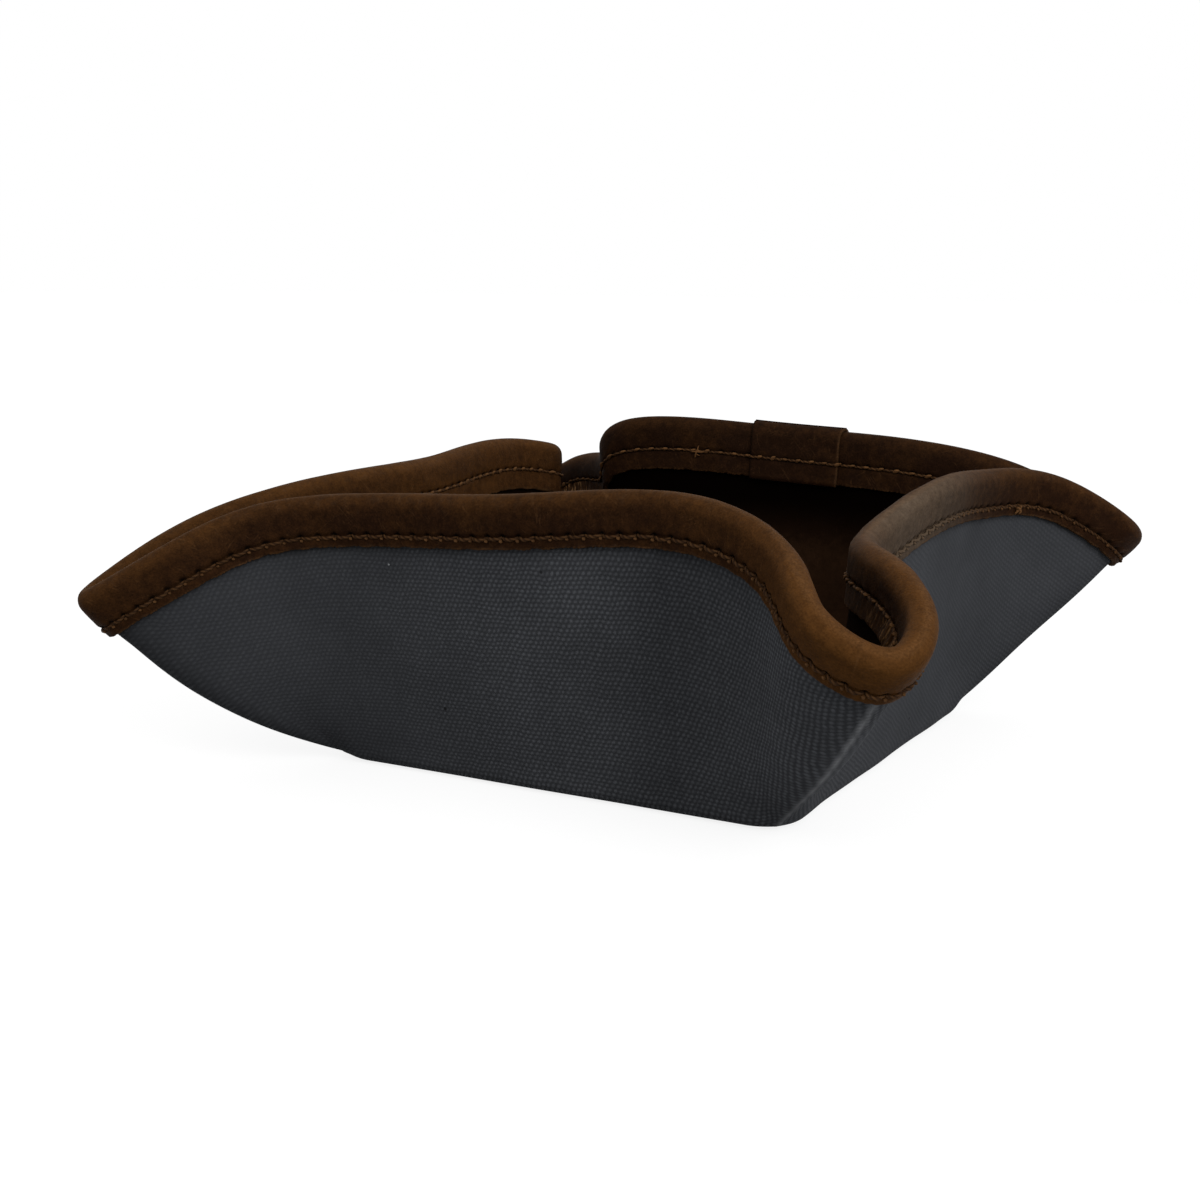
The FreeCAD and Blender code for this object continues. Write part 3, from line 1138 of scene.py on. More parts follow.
@dataclass
class SheetLayer:
    """One layer of the sheet, base and walls, as a closed skin with a fine and a plain face.

    Attributes:
        form: The sheet that it follows.
        name: Name of the object.
        outer: Stand-off of its outer face, in mm.
        inner: Stand-off of its inner face, in mm.
        top_depth: How far under the crest it ends.
        ring_spacing: Power that sets the spacing of the base's rings.
        wall_wave: Length of the wall's slow waves, in mm.
        base_wave: Length of the base's slow waves, in mm.
        calm_above: Where the wall's waves fade under the strip, as places up the wall.
    """

    form: TrayForm
    name: str
    outer: float
    inner: float
    top_depth: float = 2.3
    columns: int = 832
    rows: int = 52
    fold_rows: int = 9
    plain_rows: int = 14
    plain_fold_rows: int = 5
    base_rings: int = 16
    ring_spacing: float = 0.7
    wall_wave: float = 22.0
    base_wave: float = 26.0
    calm_above: tuple[float, float] = (1.75, 1.86)

    def face_rows(self, fine: bool) -> tuple[Array, Array]:
        """Places of one face from the base's edge to the top.

        Args:
            fine: Whether this is the face that shows.

        Returns:
            Places round the rim, and places up the wall in rows.
        """
        u = np.arange(self.columns) * HALF_EARS / self.columns
        top = self.form.under_crest(u, np.array([[self.top_depth]]))[0]
        fold_rows, rows = (self.fold_rows, self.rows) if fine else (self.plain_fold_rows, self.plain_rows)
        fold = np.linspace(0, 1, fold_rows)[:, None] * np.ones_like(u)
        rise = np.linspace(0, 1, rows + 1)[1:, None] * (top - 1)
        return u, np.concatenate([fold, 1 + rise])

    def base_rows(self, edge: Array, level: float, waves: float) -> Array:
        """Rings of the base from near its middle to its edge.

        Args:
            edge: The ring that they lead to.
            level: Their height, in mm.
            waves: Height of their slow waves, in mm.

        Returns:
            Rings of points.
        """
        share = np.linspace(0, 1, self.base_rings + 1)[1:-1, None, None] ** self.ring_spacing
        rings = edge * share
        slow = Ripple(self.base_wave, waves, seed=5).at(rings[..., :2])
        rings[..., 2] = level + slow * (1 - share[..., 0] ** 4)
        return rings

    def piece(self, fine_outside: bool, waves: float) -> Piece:
        """The layer as one closed skin.

        Args:
            fine_outside: Whether the outer face is the one that shows.
            waves: Height of the slow waves on that face, in mm.

        Returns:
            The piece, with where its points lay on the flat cut.
        """
        skins, cloths = [], []
        for amount, outside in ((self.outer, True), (self.inner, False)):
            fine = outside == fine_outside
            u, w = self.face_rows(fine)
            points = self.form.place(u, w)
            height = np.full(w.shape, amount)
            if fine:
                fade = smooth_step(0, 1, w) * (1 - smooth_step(*self.calm_above, w))
                height = height + Ripple(self.wall_wave, waves, seed=3).at(points) * fade
            points = points + self.form.outward(u, w) * height[..., None]
            points[0, :, 2] = self.form.canvas - amount
            rings = self.base_rows(points[0], self.form.canvas - amount,
                                   waves if fine and not outside else 0.0)
            skins.append(np.concatenate([rings, points]))
            cloths.append(np.concatenate([rings * (1, 1, 0), self.form.cloth(u, w)]))
        rows = np.concatenate([skins[0], skins[1][::-1]])
        cloth = np.concatenate([cloths[0], cloths[1][::-1]])
        count = len(rows)
        points = rows.reshape(-1, 3)
        low, high = len(points), len(points) + 1
        faces = ring_faces(count, self.columns, False)
        last = (count - 1) * self.columns
        for here in range(self.columns):
            after = (here + 1) % self.columns
            faces.append([low, after, here])
            faces.append([last + here, last + after, high])
        middle = np.array([[0, 0, self.form.canvas - self.outer], [0, 0, rows[-1, 0, 2]]])
        values = {"cloth": np.concatenate([cloth.reshape(-1, 3), np.zeros((2, 3))])}
        return Piece(self.name, np.concatenate([points, middle]), faces, values)


@dataclass
class CanvasShell:
    """The duck canvas that shows outside and underneath.

    Turns are angles round the tray's middle in degrees, from +X towards +Y. Widths are half widths.

    Attributes:
        ridge_rise: Where the rubbing on a ridge starts and ends up the wall.
        rise_share: How far a difference in height counts as distance from a ridge.
        line_power: Power that narrows the rubbing to a pale line.
        foot: Height and width of the rubbed foot, in mm.
        past_ridge: Turns between which the front changes to the right wall.
        haze_turn: Middle of the haze on the right wall.
        painted_light_corner: Middle of the painted light under the near ear, in mm.
        painted_shade_turn: Middle of the painted shade at the front's left.
        right_from: Turns between which the right wall's stretch of painted shade starts.
        right_to: Turns between which that stretch ends.
        ear_turn: Middle of the painted shade left of the near ear.
    """

    form: TrayForm
    waves: float = 0.10
    ridge_width: float = 1.6
    ridge_rise: tuple[float, float] = (0.6, 2.0)
    ridge_steps: int = 90
    rise_share: float = 0.35
    line_power: int = 8
    foot: tuple[float, float] = (1.2, 1.6)
    foot_from: float = 0.2
    past_ridge: tuple[float, float] = (-46.5, -43.5)
    haze_turn: float = 12.0
    haze_width: float = 56.0
    painted_light_corner: tuple[float, float, float] = (58.0, -58.0, 20.0)
    corner_width: float = 18.0
    painted_shade_turn: float = -134.0
    painted_shade_width: float = 24.0
    right_from: tuple[float, float] = (-3.0, 9.0)
    right_to: tuple[float, float] = (60.0, 90.0)
    ear_turn: float = -62.0
    ear_width: float = 9.0

    def ridge_wear(self, points: Array) -> Array:
        """Rubbing on the ears' ridges.

        Args:
            points: Points of the canvas, in mm.

        Returns:
            1 on a ridge and 0 away from it, for each point.
        """
        wear = np.zeros(len(points))
        for tip in EAR_TIPS:
            ridge = np.array([tip]), np.linspace(*self.ridge_rise, self.ridge_steps)[:, None]
            line = (self.form.place(*ridge) + self.form.outward(*ridge) * self.form.canvas)[:, 0]
            aside = np.linalg.norm(points[:, None, :2] - line[None, :, :2], axis=-1)
            rise = np.abs(points[:, None, 2] - line[None, :, 2])
            near = np.min(aside + self.rise_share * rise, axis=1)
            wear = np.maximum(wear, bump(near, self.ridge_width))
        return wear

    def build(self) -> Piece:
        """The canvas with its rubbed ridges, its haze, and its painted light and shade marked.

        Returns:
            The piece with the values that its finish reads.
        """
        layer = SheetLayer(self.form, "canvas_shell_cloth", self.form.canvas, 0.0)
        piece = layer.piece(True, self.waves)
        points = piece.points
        wear = self.ridge_wear(points)
        foot = bump(points[:, 2] - self.foot[0], self.foot[1]) * (points[:, 2] > self.foot_from)
        turn = np.degrees(np.arctan2(points[:, 1], points[:, 0]))
        corner = bump(np.linalg.norm(points - self.painted_light_corner, axis=1), self.corner_width)
        far_left = bump(turn - self.painted_shade_turn, self.painted_shade_width)
        far_right = smooth_step(*self.right_from, turn) * (1 - smooth_step(*self.right_to, turn))
        past_ridge = smooth_step(*self.past_ridge, turn)
        haze = np.maximum(0.90 * bump(turn - self.haze_turn, self.haze_width), 0.92 * corner) * past_ridge
        near_ear = bump(turn - self.ear_turn, self.ear_width)
        piece.values["wear"] = np.maximum(0.5 * wear, 0.35 * foot)
        piece.values["line"] = 0.95 * wear ** self.line_power
        piece.values["haze"] = np.maximum(haze, 0.55 * far_left)
        # Painted light under the near ear; painted shade at the front's left, on the right wall's far
        # stretch and left of the near ear.
        piece.values["tone_with_painted_light"] = (1 + (0.40 + 0.16 * past_ridge) * corner - 0.30 * far_left
                               - 0.10 * far_right - 0.26 * near_ear)
        return piece

    def dress(self, piece: Piece) -> None:
        made = piece.make(WaxedDuck().material(), "canvas_shell")


@dataclass
class LeatherLining:
    """The leather that shows inside the tray.

    Attributes:
        fit_gap: How far its outer face lies inside the sheet's middle, in mm.
        lit_up_to: Heights between which the walls' painted light and rubbing fade into painted shade, in
            mm.
        floor_up_to: Heights between which the floor's own painted light and rubbing fade, in mm.
        left_from: Heights between which the painted light and rubbing under the left side's strip start,
            in mm.
        left_edge: Where the left side starts along X, in mm.
    """

    form: TrayForm
    fit_gap: float = 0.05
    waves: float = 0.16
    lit_up_to: tuple[float, float] = (28.0, 42.0)
    floor_up_to: tuple[float, float] = (4.0, 20.0)
    left_from: tuple[float, float] = (38.0, 46.0)
    left_edge: float = -44.0

    def build(self) -> Piece:
        """The lining, painted light and rubbed most on its floor and on the lower half of its walls, with
        painted shade above.

        Returns:
            The piece with the values that its finish reads.
        """
        layer = SheetLayer(self.form, "leather_lining_hide", -self.fit_gap,
                           -self.fit_gap - self.form.lining)
        piece = layer.piece(False, self.waves)
        height = piece.points[:, 2]
        walls = 1 - smooth_step(*self.lit_up_to, height)
        floor = 1 - smooth_step(*self.floor_up_to, height)
        under_left = smooth_step(*self.left_from, height) * (piece.points[:, 0] < self.left_edge)
        # Painted light on the floor, on the lower walls and under the left side's strip, with rubbing
        # there; higher up stays near black as painted shade.
        piece.values["wear"] = 0.62 * walls + 0.5 * floor + 0.6 * under_left
        return piece

    def dress(self, piece: Piece) -> None:
        made = piece.make(LiningHide().material(), "leather_lining")


@dataclass
class Sewing:
    """Where the strip, the lap and the needle holes lie, shared by the pieces at the rim.

    Lengths are in mm.

    Attributes:
        width: Width of the strip's outer leg.
        inner_width: Width of its inner leg.
        inset: From the outer leg's edge up to the sewing.
        pitch: Length of a stitch.
        centre: Stand-off of the strip's middle from the sheet's.
        inside: Stand-off of the strip's hidden face.
        outside: Stand-off of its shown face.
        lap_inside: Stand-off of the lap's hidden face.
        lap_outside: Stand-off of its shown face.
        lap_start: Where the lap starts along X.
        back_side: Places round the rim between which the lap is looked for.
        bloom_and_sheen_place: Place round the rim with the most bloomed wax and painted sheen.
        bloom_and_sheen_width: Half width of that stretch, round the rim.
        holes: Places of the needle holes round the rim.
    """

    form: TrayForm
    width: float = 9.3
    inner_width: float = 11.8
    inset: float = 2.1
    pitch: float = 3.2
    centre: float = -0.15
    inside: float = 1.1
    outside: float = 2.3
    lap_inside: float = 2.35
    lap_outside: float = 3.15
    lap_start: float = -5.0
    lap_length: float = 21.0
    back_side: tuple[float, float] = (5.2, 6.8)
    bloom_and_sheen_place: float = 3.85
    bloom_and_sheen_width: float = 0.32
    trace_steps: int = 6401
    holes: Array = field(init=False)

    def __post_init__(self) -> None:
        """Space the holes evenly along the outside row."""
        u = np.linspace(0, HALF_EARS, self.trace_steps)
        line = self.at(u, np.full((1, len(u)), self.depth), np.full((1, len(u)), self.outside))[0]
        gone = run_along(line)
        count = round(gone[-1] / self.pitch)
        self.holes = np.interp(np.arange(count + 1) * gone[-1] / count, gone, u)

    @property
    def depth(self) -> float:
        """Depth of the sewing under the crest."""
        return self.width - self.inset

    def at(self, u: Array, depth: Array, amount: Array) -> Array:
        """Points at depths under the crest and stand-offs from the strip's middle, outside positive."""
        w = self.form.under_crest(u, depth)
        return self.form.place(u, w) + self.form.outward(u, w) * (amount + self.centre)[..., None]

    def lap_span(self) -> tuple[float, float]:
        """Find the lap on the back side.

        Returns:
            Where it starts and ends round the rim.
        """
        u = np.linspace(*self.back_side, 4001)
        run = self.form.crest(u)[:, 0]
        ends = (self.lap_start + self.lap_length, self.lap_start)
        return tuple(float(np.interp(-end, -run, u)) for end in ends)

    def on_lap(self, u: Array, soft: float = 0.004) -> Array:
        """Tell the lap from the bare strip.

        Args:
            u: Places round the rim.
            soft: Length of the step at each end, round the rim.

        Returns:
            1 on the lap and 0 off it, for each place.
        """
        first, last = self.lap_span()
        around = np.mod(u, HALF_EARS)
        return smooth_step(first - soft, first, around) * (1 - smooth_step(last, last + soft, around))

    def bloom_and_sheen(self, u: Array) -> Array:
        """How far bloomed wax and painted sheen lie at places round the rim, most on the right side."""
        return bump(np.mod(u, HALF_EARS) - self.bloom_and_sheen_place, self.bloom_and_sheen_width)

    def near_hole(self, u: Array) -> Array:
        """Share of a stitch from each place to its nearest hole, from 0 to 0.5."""
        number = np.interp(np.mod(u, HALF_EARS), self.holes, np.arange(len(self.holes)))
        return np.abs(number - np.round(number))


@dataclass(frozen=True)
class StripGrid:
    """The strip's rows and columns, with what its shape and its looks both need.

    Attributes:
        u: Places round the rim, one for each column.
        depth: Depths under the crest, in mm.
        amount: Stand-offs from the sheet's middle, in mm.
        seen: 1 on the rows that show, 0 on the hidden ones.
        edge: Depth of the cut edge of each row's leg, in mm.
        inside: True on the inner leg.
        flat: Place on the strip laid flat: along it and across it, in mm.
        below: Depths below the sewing, in mm.
        from_hole: Distance along the row to the nearest hole, in mm.
        hole: 1 in a needle hole.
        gather: 1 where the leg is gathered in an ear.
        ridge: Pleats from about -1 in a valley to 1 on a top, one for each column.
        cut: 1 at a cut edge.
    """

    u: Array
    depth: Array
    amount: Array
    seen: Array
    edge: Array
    inside: Array
    flat: Array
    below: Array
    from_hole: Array
    hole: Array
    gather: Array
    ridge: Array
    cut: Array


@dataclass
class RimBinding:
    """Leather strip folded over the rim and pulled in by its sewing.

    Lengths are in mm, and the widths of stretches are half widths in places round the rim.

    Attributes:
        steps: Columns for each stitch.
        sewn_rows: Rows on each side of the sewing, measured from it.
        edge_rows: Rows of a cut edge: depth from it, and share of the thickness.
        pit: Depth of a needle hole.
        hole_size: Half length and half height of a hole.
        hole_rise: How far a hole lies above the sewing inside, and what is added outside.
        thread_shadow: Height above the sewing and half height of the painted shadow line over the thread.
        crown: Height of the leg's soft middle.
        crown_rows: Depth that the soft middle starts at, and how far down it goes.
        flare: How far the inner leg stands off in an ear.
        ear_shade_width: Width of the stretch of inner leg painted dark as shade inside an ear.
        pulls: How far each ear's hide is stretched, from the front left one on.
    """

    form: TrayForm
    sewing: Sewing
    steps: int = 8
    crest_rows: int = 14
    sewn_rows: tuple[float, ...] = (0.12, 0.3, 0.5, 0.75, 1.0)
    edge_rows: tuple[tuple[float, float], ...] = ((-0.04, 0.86), (0.0, 0.55), (0.0, 0.25), (-0.12, 0.0))
    groove: float = 0.26
    groove_width: float = 0.5
    pit: float = 0.45
    hole_size: tuple[float, float] = (0.42, 0.38)
    hole_rise: tuple[float, float] = (0.10, 0.22)
    thread_shadow: tuple[float, float] = (0.26, 0.2)
    crown: float = 0.18
    crown_rows: tuple[float, float] = (1.0, 6.0)
    pucker: float = 0.06
    flare: float = 0.5
    pleat: float = 0.18
    pleat_length: float = 2.7
    gather_width: float = 0.24
    flare_width: float = 0.3
    ear_shade_width: float = 0.42
    pulls: tuple[float, ...] = (0.14, 1.0, 0.0, 0.42)
    pull_width: float = 0.38
    shaded_place: float = 6.0
    shaded_width: float = 0.9

    def leg(self, width: float) -> Array:
        """Depths of one leg's rows from its edge to the crest, close together at the sewing.

        Args:
            width: Width of the leg, in mm.

        Returns:
            The depths, in mm.
        """
        s = self.sewing
        steps = np.array(self.sewn_rows)
        sewn = s.depth + np.concatenate([steps[::-1], [0.0], -steps])
        low = np.linspace(width - 0.14, s.depth + 1.3, max(3, round((width - s.depth - 1.3) / 0.4)))
        return np.concatenate([low, sewn, np.linspace(s.depth - 1.4, s.outside + 0.6, 9)])

    def section(self) -> tuple[Array, Array, Array, Array]:
        """Closed section of the strip, from the outer leg's edge over the crest and back.

        Returns:
            Depths, stand-offs, 1 for rows that show, and the depth of each row's edge.
        """
        s = self.sewing
        thick = s.outside - s.inside
        turn = np.linspace(0, math.pi, self.crest_rows + 1)
        show = [(d, s.outside) for d in self.leg(s.width)]
        show += [(s.outside - s.outside * math.sin(a), s.outside * math.cos(a)) for a in turn]
        show += [(d, -s.outside) for d in self.leg(s.inner_width)[::-1]]
        inner_edge = [(s.inner_width + d, -(s.inside + thick * share)) for d, share in self.edge_rows]
        hidden = [(d, -s.inside) for d in np.linspace(s.inner_width - 1, s.outside + 0.6, 7)]
        hidden += [(s.outside - s.inside * math.sin(a), -s.inside * math.cos(a))
                   for a in np.linspace(0, math.pi, 7)]
        hidden += [(d, s.inside) for d in np.linspace(s.outside + 0.6, s.width - 1, 5)]
        outer_edge = [(s.width + d, s.inside + thick * share) for d, share in self.edge_rows[::-1]]
        rows = np.array(show + inner_edge + hidden + outer_edge)
        seen = (np.arange(len(rows)) < len(show)).astype(float)
        return rows[:, 0], rows[:, 1], seen, np.where(rows[:, 1] > 0, s.width, s.inner_width)

    def pulled(self, u: Array) -> Array:
        """How far the hide is stretched, and so lightened, at places round the rim."""
        half, _, _ = self.form.ear_share(u)
        return np.array(self.pulls)[half // 2] * self.form.ear_mask(u, self.pull_width)

    def grid(self) -> StripGrid:
        """The smooth strip, with its holes, its pleats and its cut edges marked.

        Returns:
            Its rows and columns.
        """
        s, form = self.sewing, self.form
        share = np.arange(self.steps) / self.steps
        u = (s.holes[:-1, None] + np.diff(s.holes)[:, None] * share).ravel()
        rows = self.section()
        across = run_along(np.stack(rows[:2], -1))[:, None]
        depth, amount, seen, edge = (row[:, None] * np.ones_like(u) for row in rows)
        inside = amount < 0
        below = depth - s.depth
        from_hole = s.near_hole(u) * s.pitch
        rise = below + self.hole_rise[0] + self.hole_rise[1] * ~inside
        arc = run_along(form.crest(np.append(u, HALF_EARS)))
        joint = np.interp(np.mean(s.lap_span()), u, arc[:-1])
        arc = np.mod(arc[:-1] - joint, arc[-1])
        uneven = 2.2 * np.sin(arc / 3.3) + 1.5 * np.sin(arc / 1.37)
        return StripGrid(
            u, depth, amount, seen, edge, inside, below=below, from_hole=from_hole,
            flat=np.stack([arc * np.ones_like(depth), across * np.ones_like(depth)], -1),
            hole=bump(from_hole, self.hole_size[0]) * bump(rise, self.hole_size[1]),
            gather=form.ear_mask(u, self.gather_width) * smooth_step(s.depth - 1.0, s.depth + 1.2, depth),
            ridge=(np.sin(2 * np.pi * arc / self.pleat_length + uneven)
                   + 0.45 * np.sin(2 * np.pi * arc / (0.61 * self.pleat_length) + 2.0)),
            cut=1 - smooth_step(0.1, 0.8, edge - depth))

    def shaped(self, g: StripGrid) -> StripGrid:
        """Pull the strip in at its sewing, pleat it and make its edges ragged.

        Args:
            g: The smooth strip.

        Returns:
            The shaped strip.
        """
        s = self.sewing
        start, height = self.crown_rows
        crown = np.sin(np.pi * np.clip((g.depth - start) / height, 0, 1))
        slow = Ripple(17, 0.08, 11).at(g.flat) + Ripple(6, 0.03, 12).at(g.flat)
        pucker = self.pucker * np.cos(2 * np.pi * s.near_hole(g.u)) * bump(np.abs(g.below) - 0.9, 0.6)
        pleats = g.ridge * self.pleat * g.gather * g.inside * g.seen
        flare = (self.flare * g.inside * smooth_step(s.depth + 1.0, s.inner_width, g.depth)
                 * self.form.ear_mask(g.u, self.flare_width))
        groove = bump(g.below, self.groove_width)
        lift = (self.crown * crown - self.groove * groove - self.pit * g.hole - pucker + slow + pleats
                + flare)
        along = g.flat[..., :1]
        ragged = Ripple(1.1, 0.05, 21).at(along) + Ripple(4.5, 0.06, 22).at(along)
        return replace(g, amount=g.amount + np.sign(g.amount) * lift * g.seen,
                       depth=g.depth + g.cut * ragged)

    def looks(self, g: StripGrid) -> dict[str, Array]:
        """Values that the strip's finish reads.

        Args:
            g: The shaped strip.

        Returns:
            Each value by its name, one for each point.
        """
        s, inside, seen, depth = self.sewing, g.inside, g.seen, g.depth
        pulled = self.pulled(g.u) * (1 - 0.8 * inside * smooth_step(0.8, 4.0, depth))
        # Painted shade on the inner leg inside each ear, above the sewing.
        ear_shade = (self.form.ear_mask(g.u, self.ear_shade_width) * inside * seen * smooth_step(1.5, 5.0, depth)
                * (1 - 0.8 * smooth_step(-0.3, 0.6, g.below)))
        tops = np.clip(g.ridge - 0.25, 0, 1) * g.gather * inside
        shaded = bump(g.u - self.shaded_place, self.shaded_width)
        crest = bump(depth - 0.2, 2.1) * seen * (1 - 0.6 * shaded)
        # Bloomed wax with painted sheen, most on the right side's outer face.
        bloom_and_sheen = s.bloom_and_sheen(g.u) * seen * (1 - 0.6 * inside)
        # Painted light on the left side's inner leg, which faces the lamp.
        left = bump(np.minimum(g.u, HALF_EARS - g.u), 0.7) * inside * seen
        # Painted shadow line above the thread, darkest at each hole.
        rise, height = self.thread_shadow
        thread_shadow = bump(g.below + rise, height) * (0.22 + 0.78 * bump(g.from_hole, 0.8)) * seen
        fibre = 1 - smooth_step(0.05, 0.28, g.edge - depth)
        values = {
            "bend": 0.05 + 0.75 * pulled + 0.42 * crest + 0.5 * tops + 0.3 * g.gather * inside
            + 0.46 * left,
            # The thin pale line at the crest, in wear and raw, is partly wear on the fold and partly a
            # painted highlight.
            "wear": (0.20 + 0.16 * crest + 0.3 * g.cut) * (1 - 0.6 * shaded * inside) * (1 - 0.6 * pulled)
            + 0.12 * bump(depth, 0.2) * seen,
            "bloom_and_sheen": bloom_and_sheen * (0.75 + 0.25 * crest),
            "raw": 0.55 * fibre * (np.abs(g.amount) > 1.2) + 0.4 * tops
            + 0.38 * bump(depth, 0.1) * seen * (1 - 0.7 * shaded),
            # Painted shade: in the needle holes, the line over the thread, inside the ears and on the
            # back's inner leg.
            "pit": (1.6 * g.hole + 0.6 * thread_shadow) * (1 - 0.8 * bloom_and_sheen) + 0.5 * ear_shade * (1 - tops)
            + 0.28 * shaded * inside,
            "pleat": g.gather * inside * seen,
        }
        values = {name: np.clip(value, 0, 1).ravel() for name, value in values.items()}
        values["hide"] = np.concatenate([g.flat, np.zeros((*depth.shape, 1))], -1).reshape(-1, 3)
        return values

    def build(self) -> Piece:
        """The strip with its groove, holes, pleats and cut edges.

        Returns:
            The piece with the values that its finish reads.
        """
        g = self.shaped(self.grid())
        points = self.sewing.at(g.u, g.depth, g.amount)
        faces = ring_faces(*g.depth.shape, True)
        return Piece("rim_binding_strip", points.reshape(-1, 3), faces, self.looks(g))

    def dress(self, piece: Piece, hide: bpy.types.Material) -> None:
        made = piece.make(hide, "rim_binding")


@dataclass
class BindingLap:
    """Short leather wrap over the strip's two ends.

    Attributes:
        sewn_rows: Rows at the sewing, in mm from it.
        end_shares: Columns at each end, as shares of its length.
        over: How far it reaches past the strip's edges, in mm.
        groove: Depth and half width of the groove at the sewing, in mm.
        hole: Depth, half length and half height of a needle hole, in mm.
        rounding: How far the ends are rounded off, in mm.
        on_hide: Where it was cut from the hide, along and up, in mm.
    """

    sewing: Sewing
    columns: int = 72
    crest_rows: int = 14
    sewn_rows: tuple[float, ...] = (0.7, 0.4, 0.2, 0.0, -0.2, -0.4, -0.7)
    end_shares: tuple[float, ...] = (0, 0.001, 0.004, 0.012)
    over: float = 0.35
    groove: tuple[float, float] = (0.16, 0.5)
    hole: tuple[float, float, float] = (0.34, 0.36, 0.34)
    rounding: float = 0.28
    on_hide: tuple[float, float] = (40.0, 9.0)

    def leg(self, width: float) -> Array:
        """Depths of one leg's rows from its edge to the crest.

        Args:
            width: Width of the strip's leg under it, in mm.

        Returns:
            The depths, in mm.
        """
        s = self.sewing
        low = np.linspace(width + self.over, s.depth + 1.2, 5)
        high = np.linspace(s.depth - 1.2, s.outside + 0.6, 6)
        return np.concatenate([low, s.depth + np.array(self.sewn_rows), high])

    def skin(self, radius: float) -> Array:
        """Section of one face of the wrap.

        Args:
            radius: Stand-off of the face, in mm.

        Returns:
            A depth and a stand-off for each row.
        """
        s = self.sewing
        turn = np.linspace(0, math.pi, self.crest_rows + 1)
        rows = [(d, radius) for d in self.leg(s.width)]
        rows += [(s.outside - radius * math.sin(a), radius * math.cos(a)) for a in turn]
        return np.array(rows + [(d, -radius) for d in self.leg(s.inner_width)[::-1]])

    @staticmethod
    def faces(rows: int, columns: int) -> list[list[int]]:
        """Faces of an outer and an inner skin, closed all round.

        Args:
            rows: Rows of each skin.
            columns: Columns of each skin.

        Returns:
            Corner numbers of each face.
        """
        under = rows * columns
        faces = []
        for row in range(rows - 1):
            for column in range(columns - 1):
                a, b = row * columns + column, row * columns + column + 1
                c, d = b + columns, a + columns
                faces.append([a, b, c, d])
                faces.append([d + under, c + under, b + under, a + under])
        for column in range(columns - 1):
            low, high = column, (rows - 1) * columns + column
            faces.append([low + 1, low, low + under, low + 1 + under])
            faces.append([high, high + 1, high + 1 + under, high + under])
        for row in range(rows - 1):
            start, end = row * columns, row * columns + columns - 1
            faces.append([start, start + columns, start + columns + under, start + under])
            faces.append([end + columns, end, end + under, end + columns + under])
        return faces

    def build(self) -> Piece:
        """The wrap as a closed skin with cut ends.

        Returns:
            The piece with the values that its finish reads.
        """
        s = self.sewing
        first, last = s.lap_span()
        ends = np.array(self.end_shares)
        share = np.concatenate([ends, np.linspace(0.02, 0.98, self.columns), 1 - ends[::-1]])
        u = first + (last - first) * share
        skins = [self.skin(s.lap_outside), self.skin(s.lap_inside)]
        depth, amount = (np.concatenate(skins)[:, [part]] * np.ones_like(u) for part in (0, 1))
        flat = np.zeros_like(depth)
        hole_depth, hole_length, hole_height = self.hole
        groove_depth, groove_width = self.groove
        groove = bump(depth - s.depth, groove_width)
        hole = bump(s.near_hole(u) * s.pitch, hole_length) * bump(depth - s.depth, hole_height)
        soft = self.rounding * (bump(share, 0.006) + bump(1 - share, 0.006))
        slow = Ripple(9, 0.05, 31).at(np.stack([depth, 160 * u + flat], -1))
        outside = np.arange(len(depth))[:, None] < len(skins[0])
        lift = -groove_depth * groove - hole_depth * hole - soft + slow
        points = s.at(u, depth, amount + np.sign(amount) * lift * outside)
        cut = bump(share, 0.012) + bump(1 - share, 0.012)
        values = {
            "bend": 0.2 * bump(depth - 0.2, 2.1),
            "wear": 0.16 + 0.3 * cut + flat,
            "bloom_and_sheen": flat,
            "raw": cut * np.where(share < 0.5, 0.36, 0.1) + flat,
            # Painted shade in the needle holes and the groove, at the lap's last end, and all over the
            # lap, which lies in the shaded back.
            "pit": 1.4 * hole + 0.4 * groove + 0.6 * bump(1 - share, 0.02) + 0.2,
            "pleat": flat,
        }
        values = {name: np.clip(value, 0, 1).ravel() for name, value in values.items()}
        along = np.linspace(0, s.lap_length, len(u)) + self.on_hide[0]
        across = np.concatenate([run_along(skin) for skin in skins])[:, None]
        values["hide"] = np.stack([along + flat, across + flat, self.on_hide[1] + flat], -1).reshape(-1, 3)
        faces = self.faces(len(skins[0]), len(u))
        return Piece("binding_lap_wrap", points.reshape(-1, 3), faces, values)

    def dress(self, piece: Piece, hide: bpy.types.Material) -> None:
        made = piece.make(hide, "binding_lap")


@dataclass(frozen=True)
class Stitch:
    """Sizes of one row's stitches, and of the knot that shows at each hole, in mm.

    Attributes:
        radius: Radius of the thread.
        lift: Height of the stitch's middle over the leather.
        dip: How deep its ends go into the holes.
        sag: How far its middle hangs below the holes.
        tone: Range of its tone, from 0 for dark to 1 for light.
        knot_radius: Radius of the knot.
        knot_length: Half the knot's length.
        knot_drop: How far the knot lies below the hole.
        knot_slant: Drop of the knot over its half length.
        knot_lift: Height of the knot over the leather.
        knot_tone: Range of the knot's tone.
    """

    radius: float
    lift: float
    dip: float
    sag: float
    tone: tuple[float, float]
    knot_radius: float
    knot_length: float
    knot_drop: float
    knot_slant: float
    knot_lift: float
    knot_tone: tuple[float, float]


STITCHES = {
    Face.OUTSIDE: Stitch(0.30, 0.07, 0.50, 0.22, (0.34, 0.54), 0.29, 0.26, 0.48, 0.02, 0.05, (0.42, 0.74)),
    Face.INSIDE: Stitch(0.27, 0.14, 0.40, 0.08, (0.36, 0.66), 0.34, 0.62, 0.02, 0.22, 0.16, (0.60, 1.0)),
}


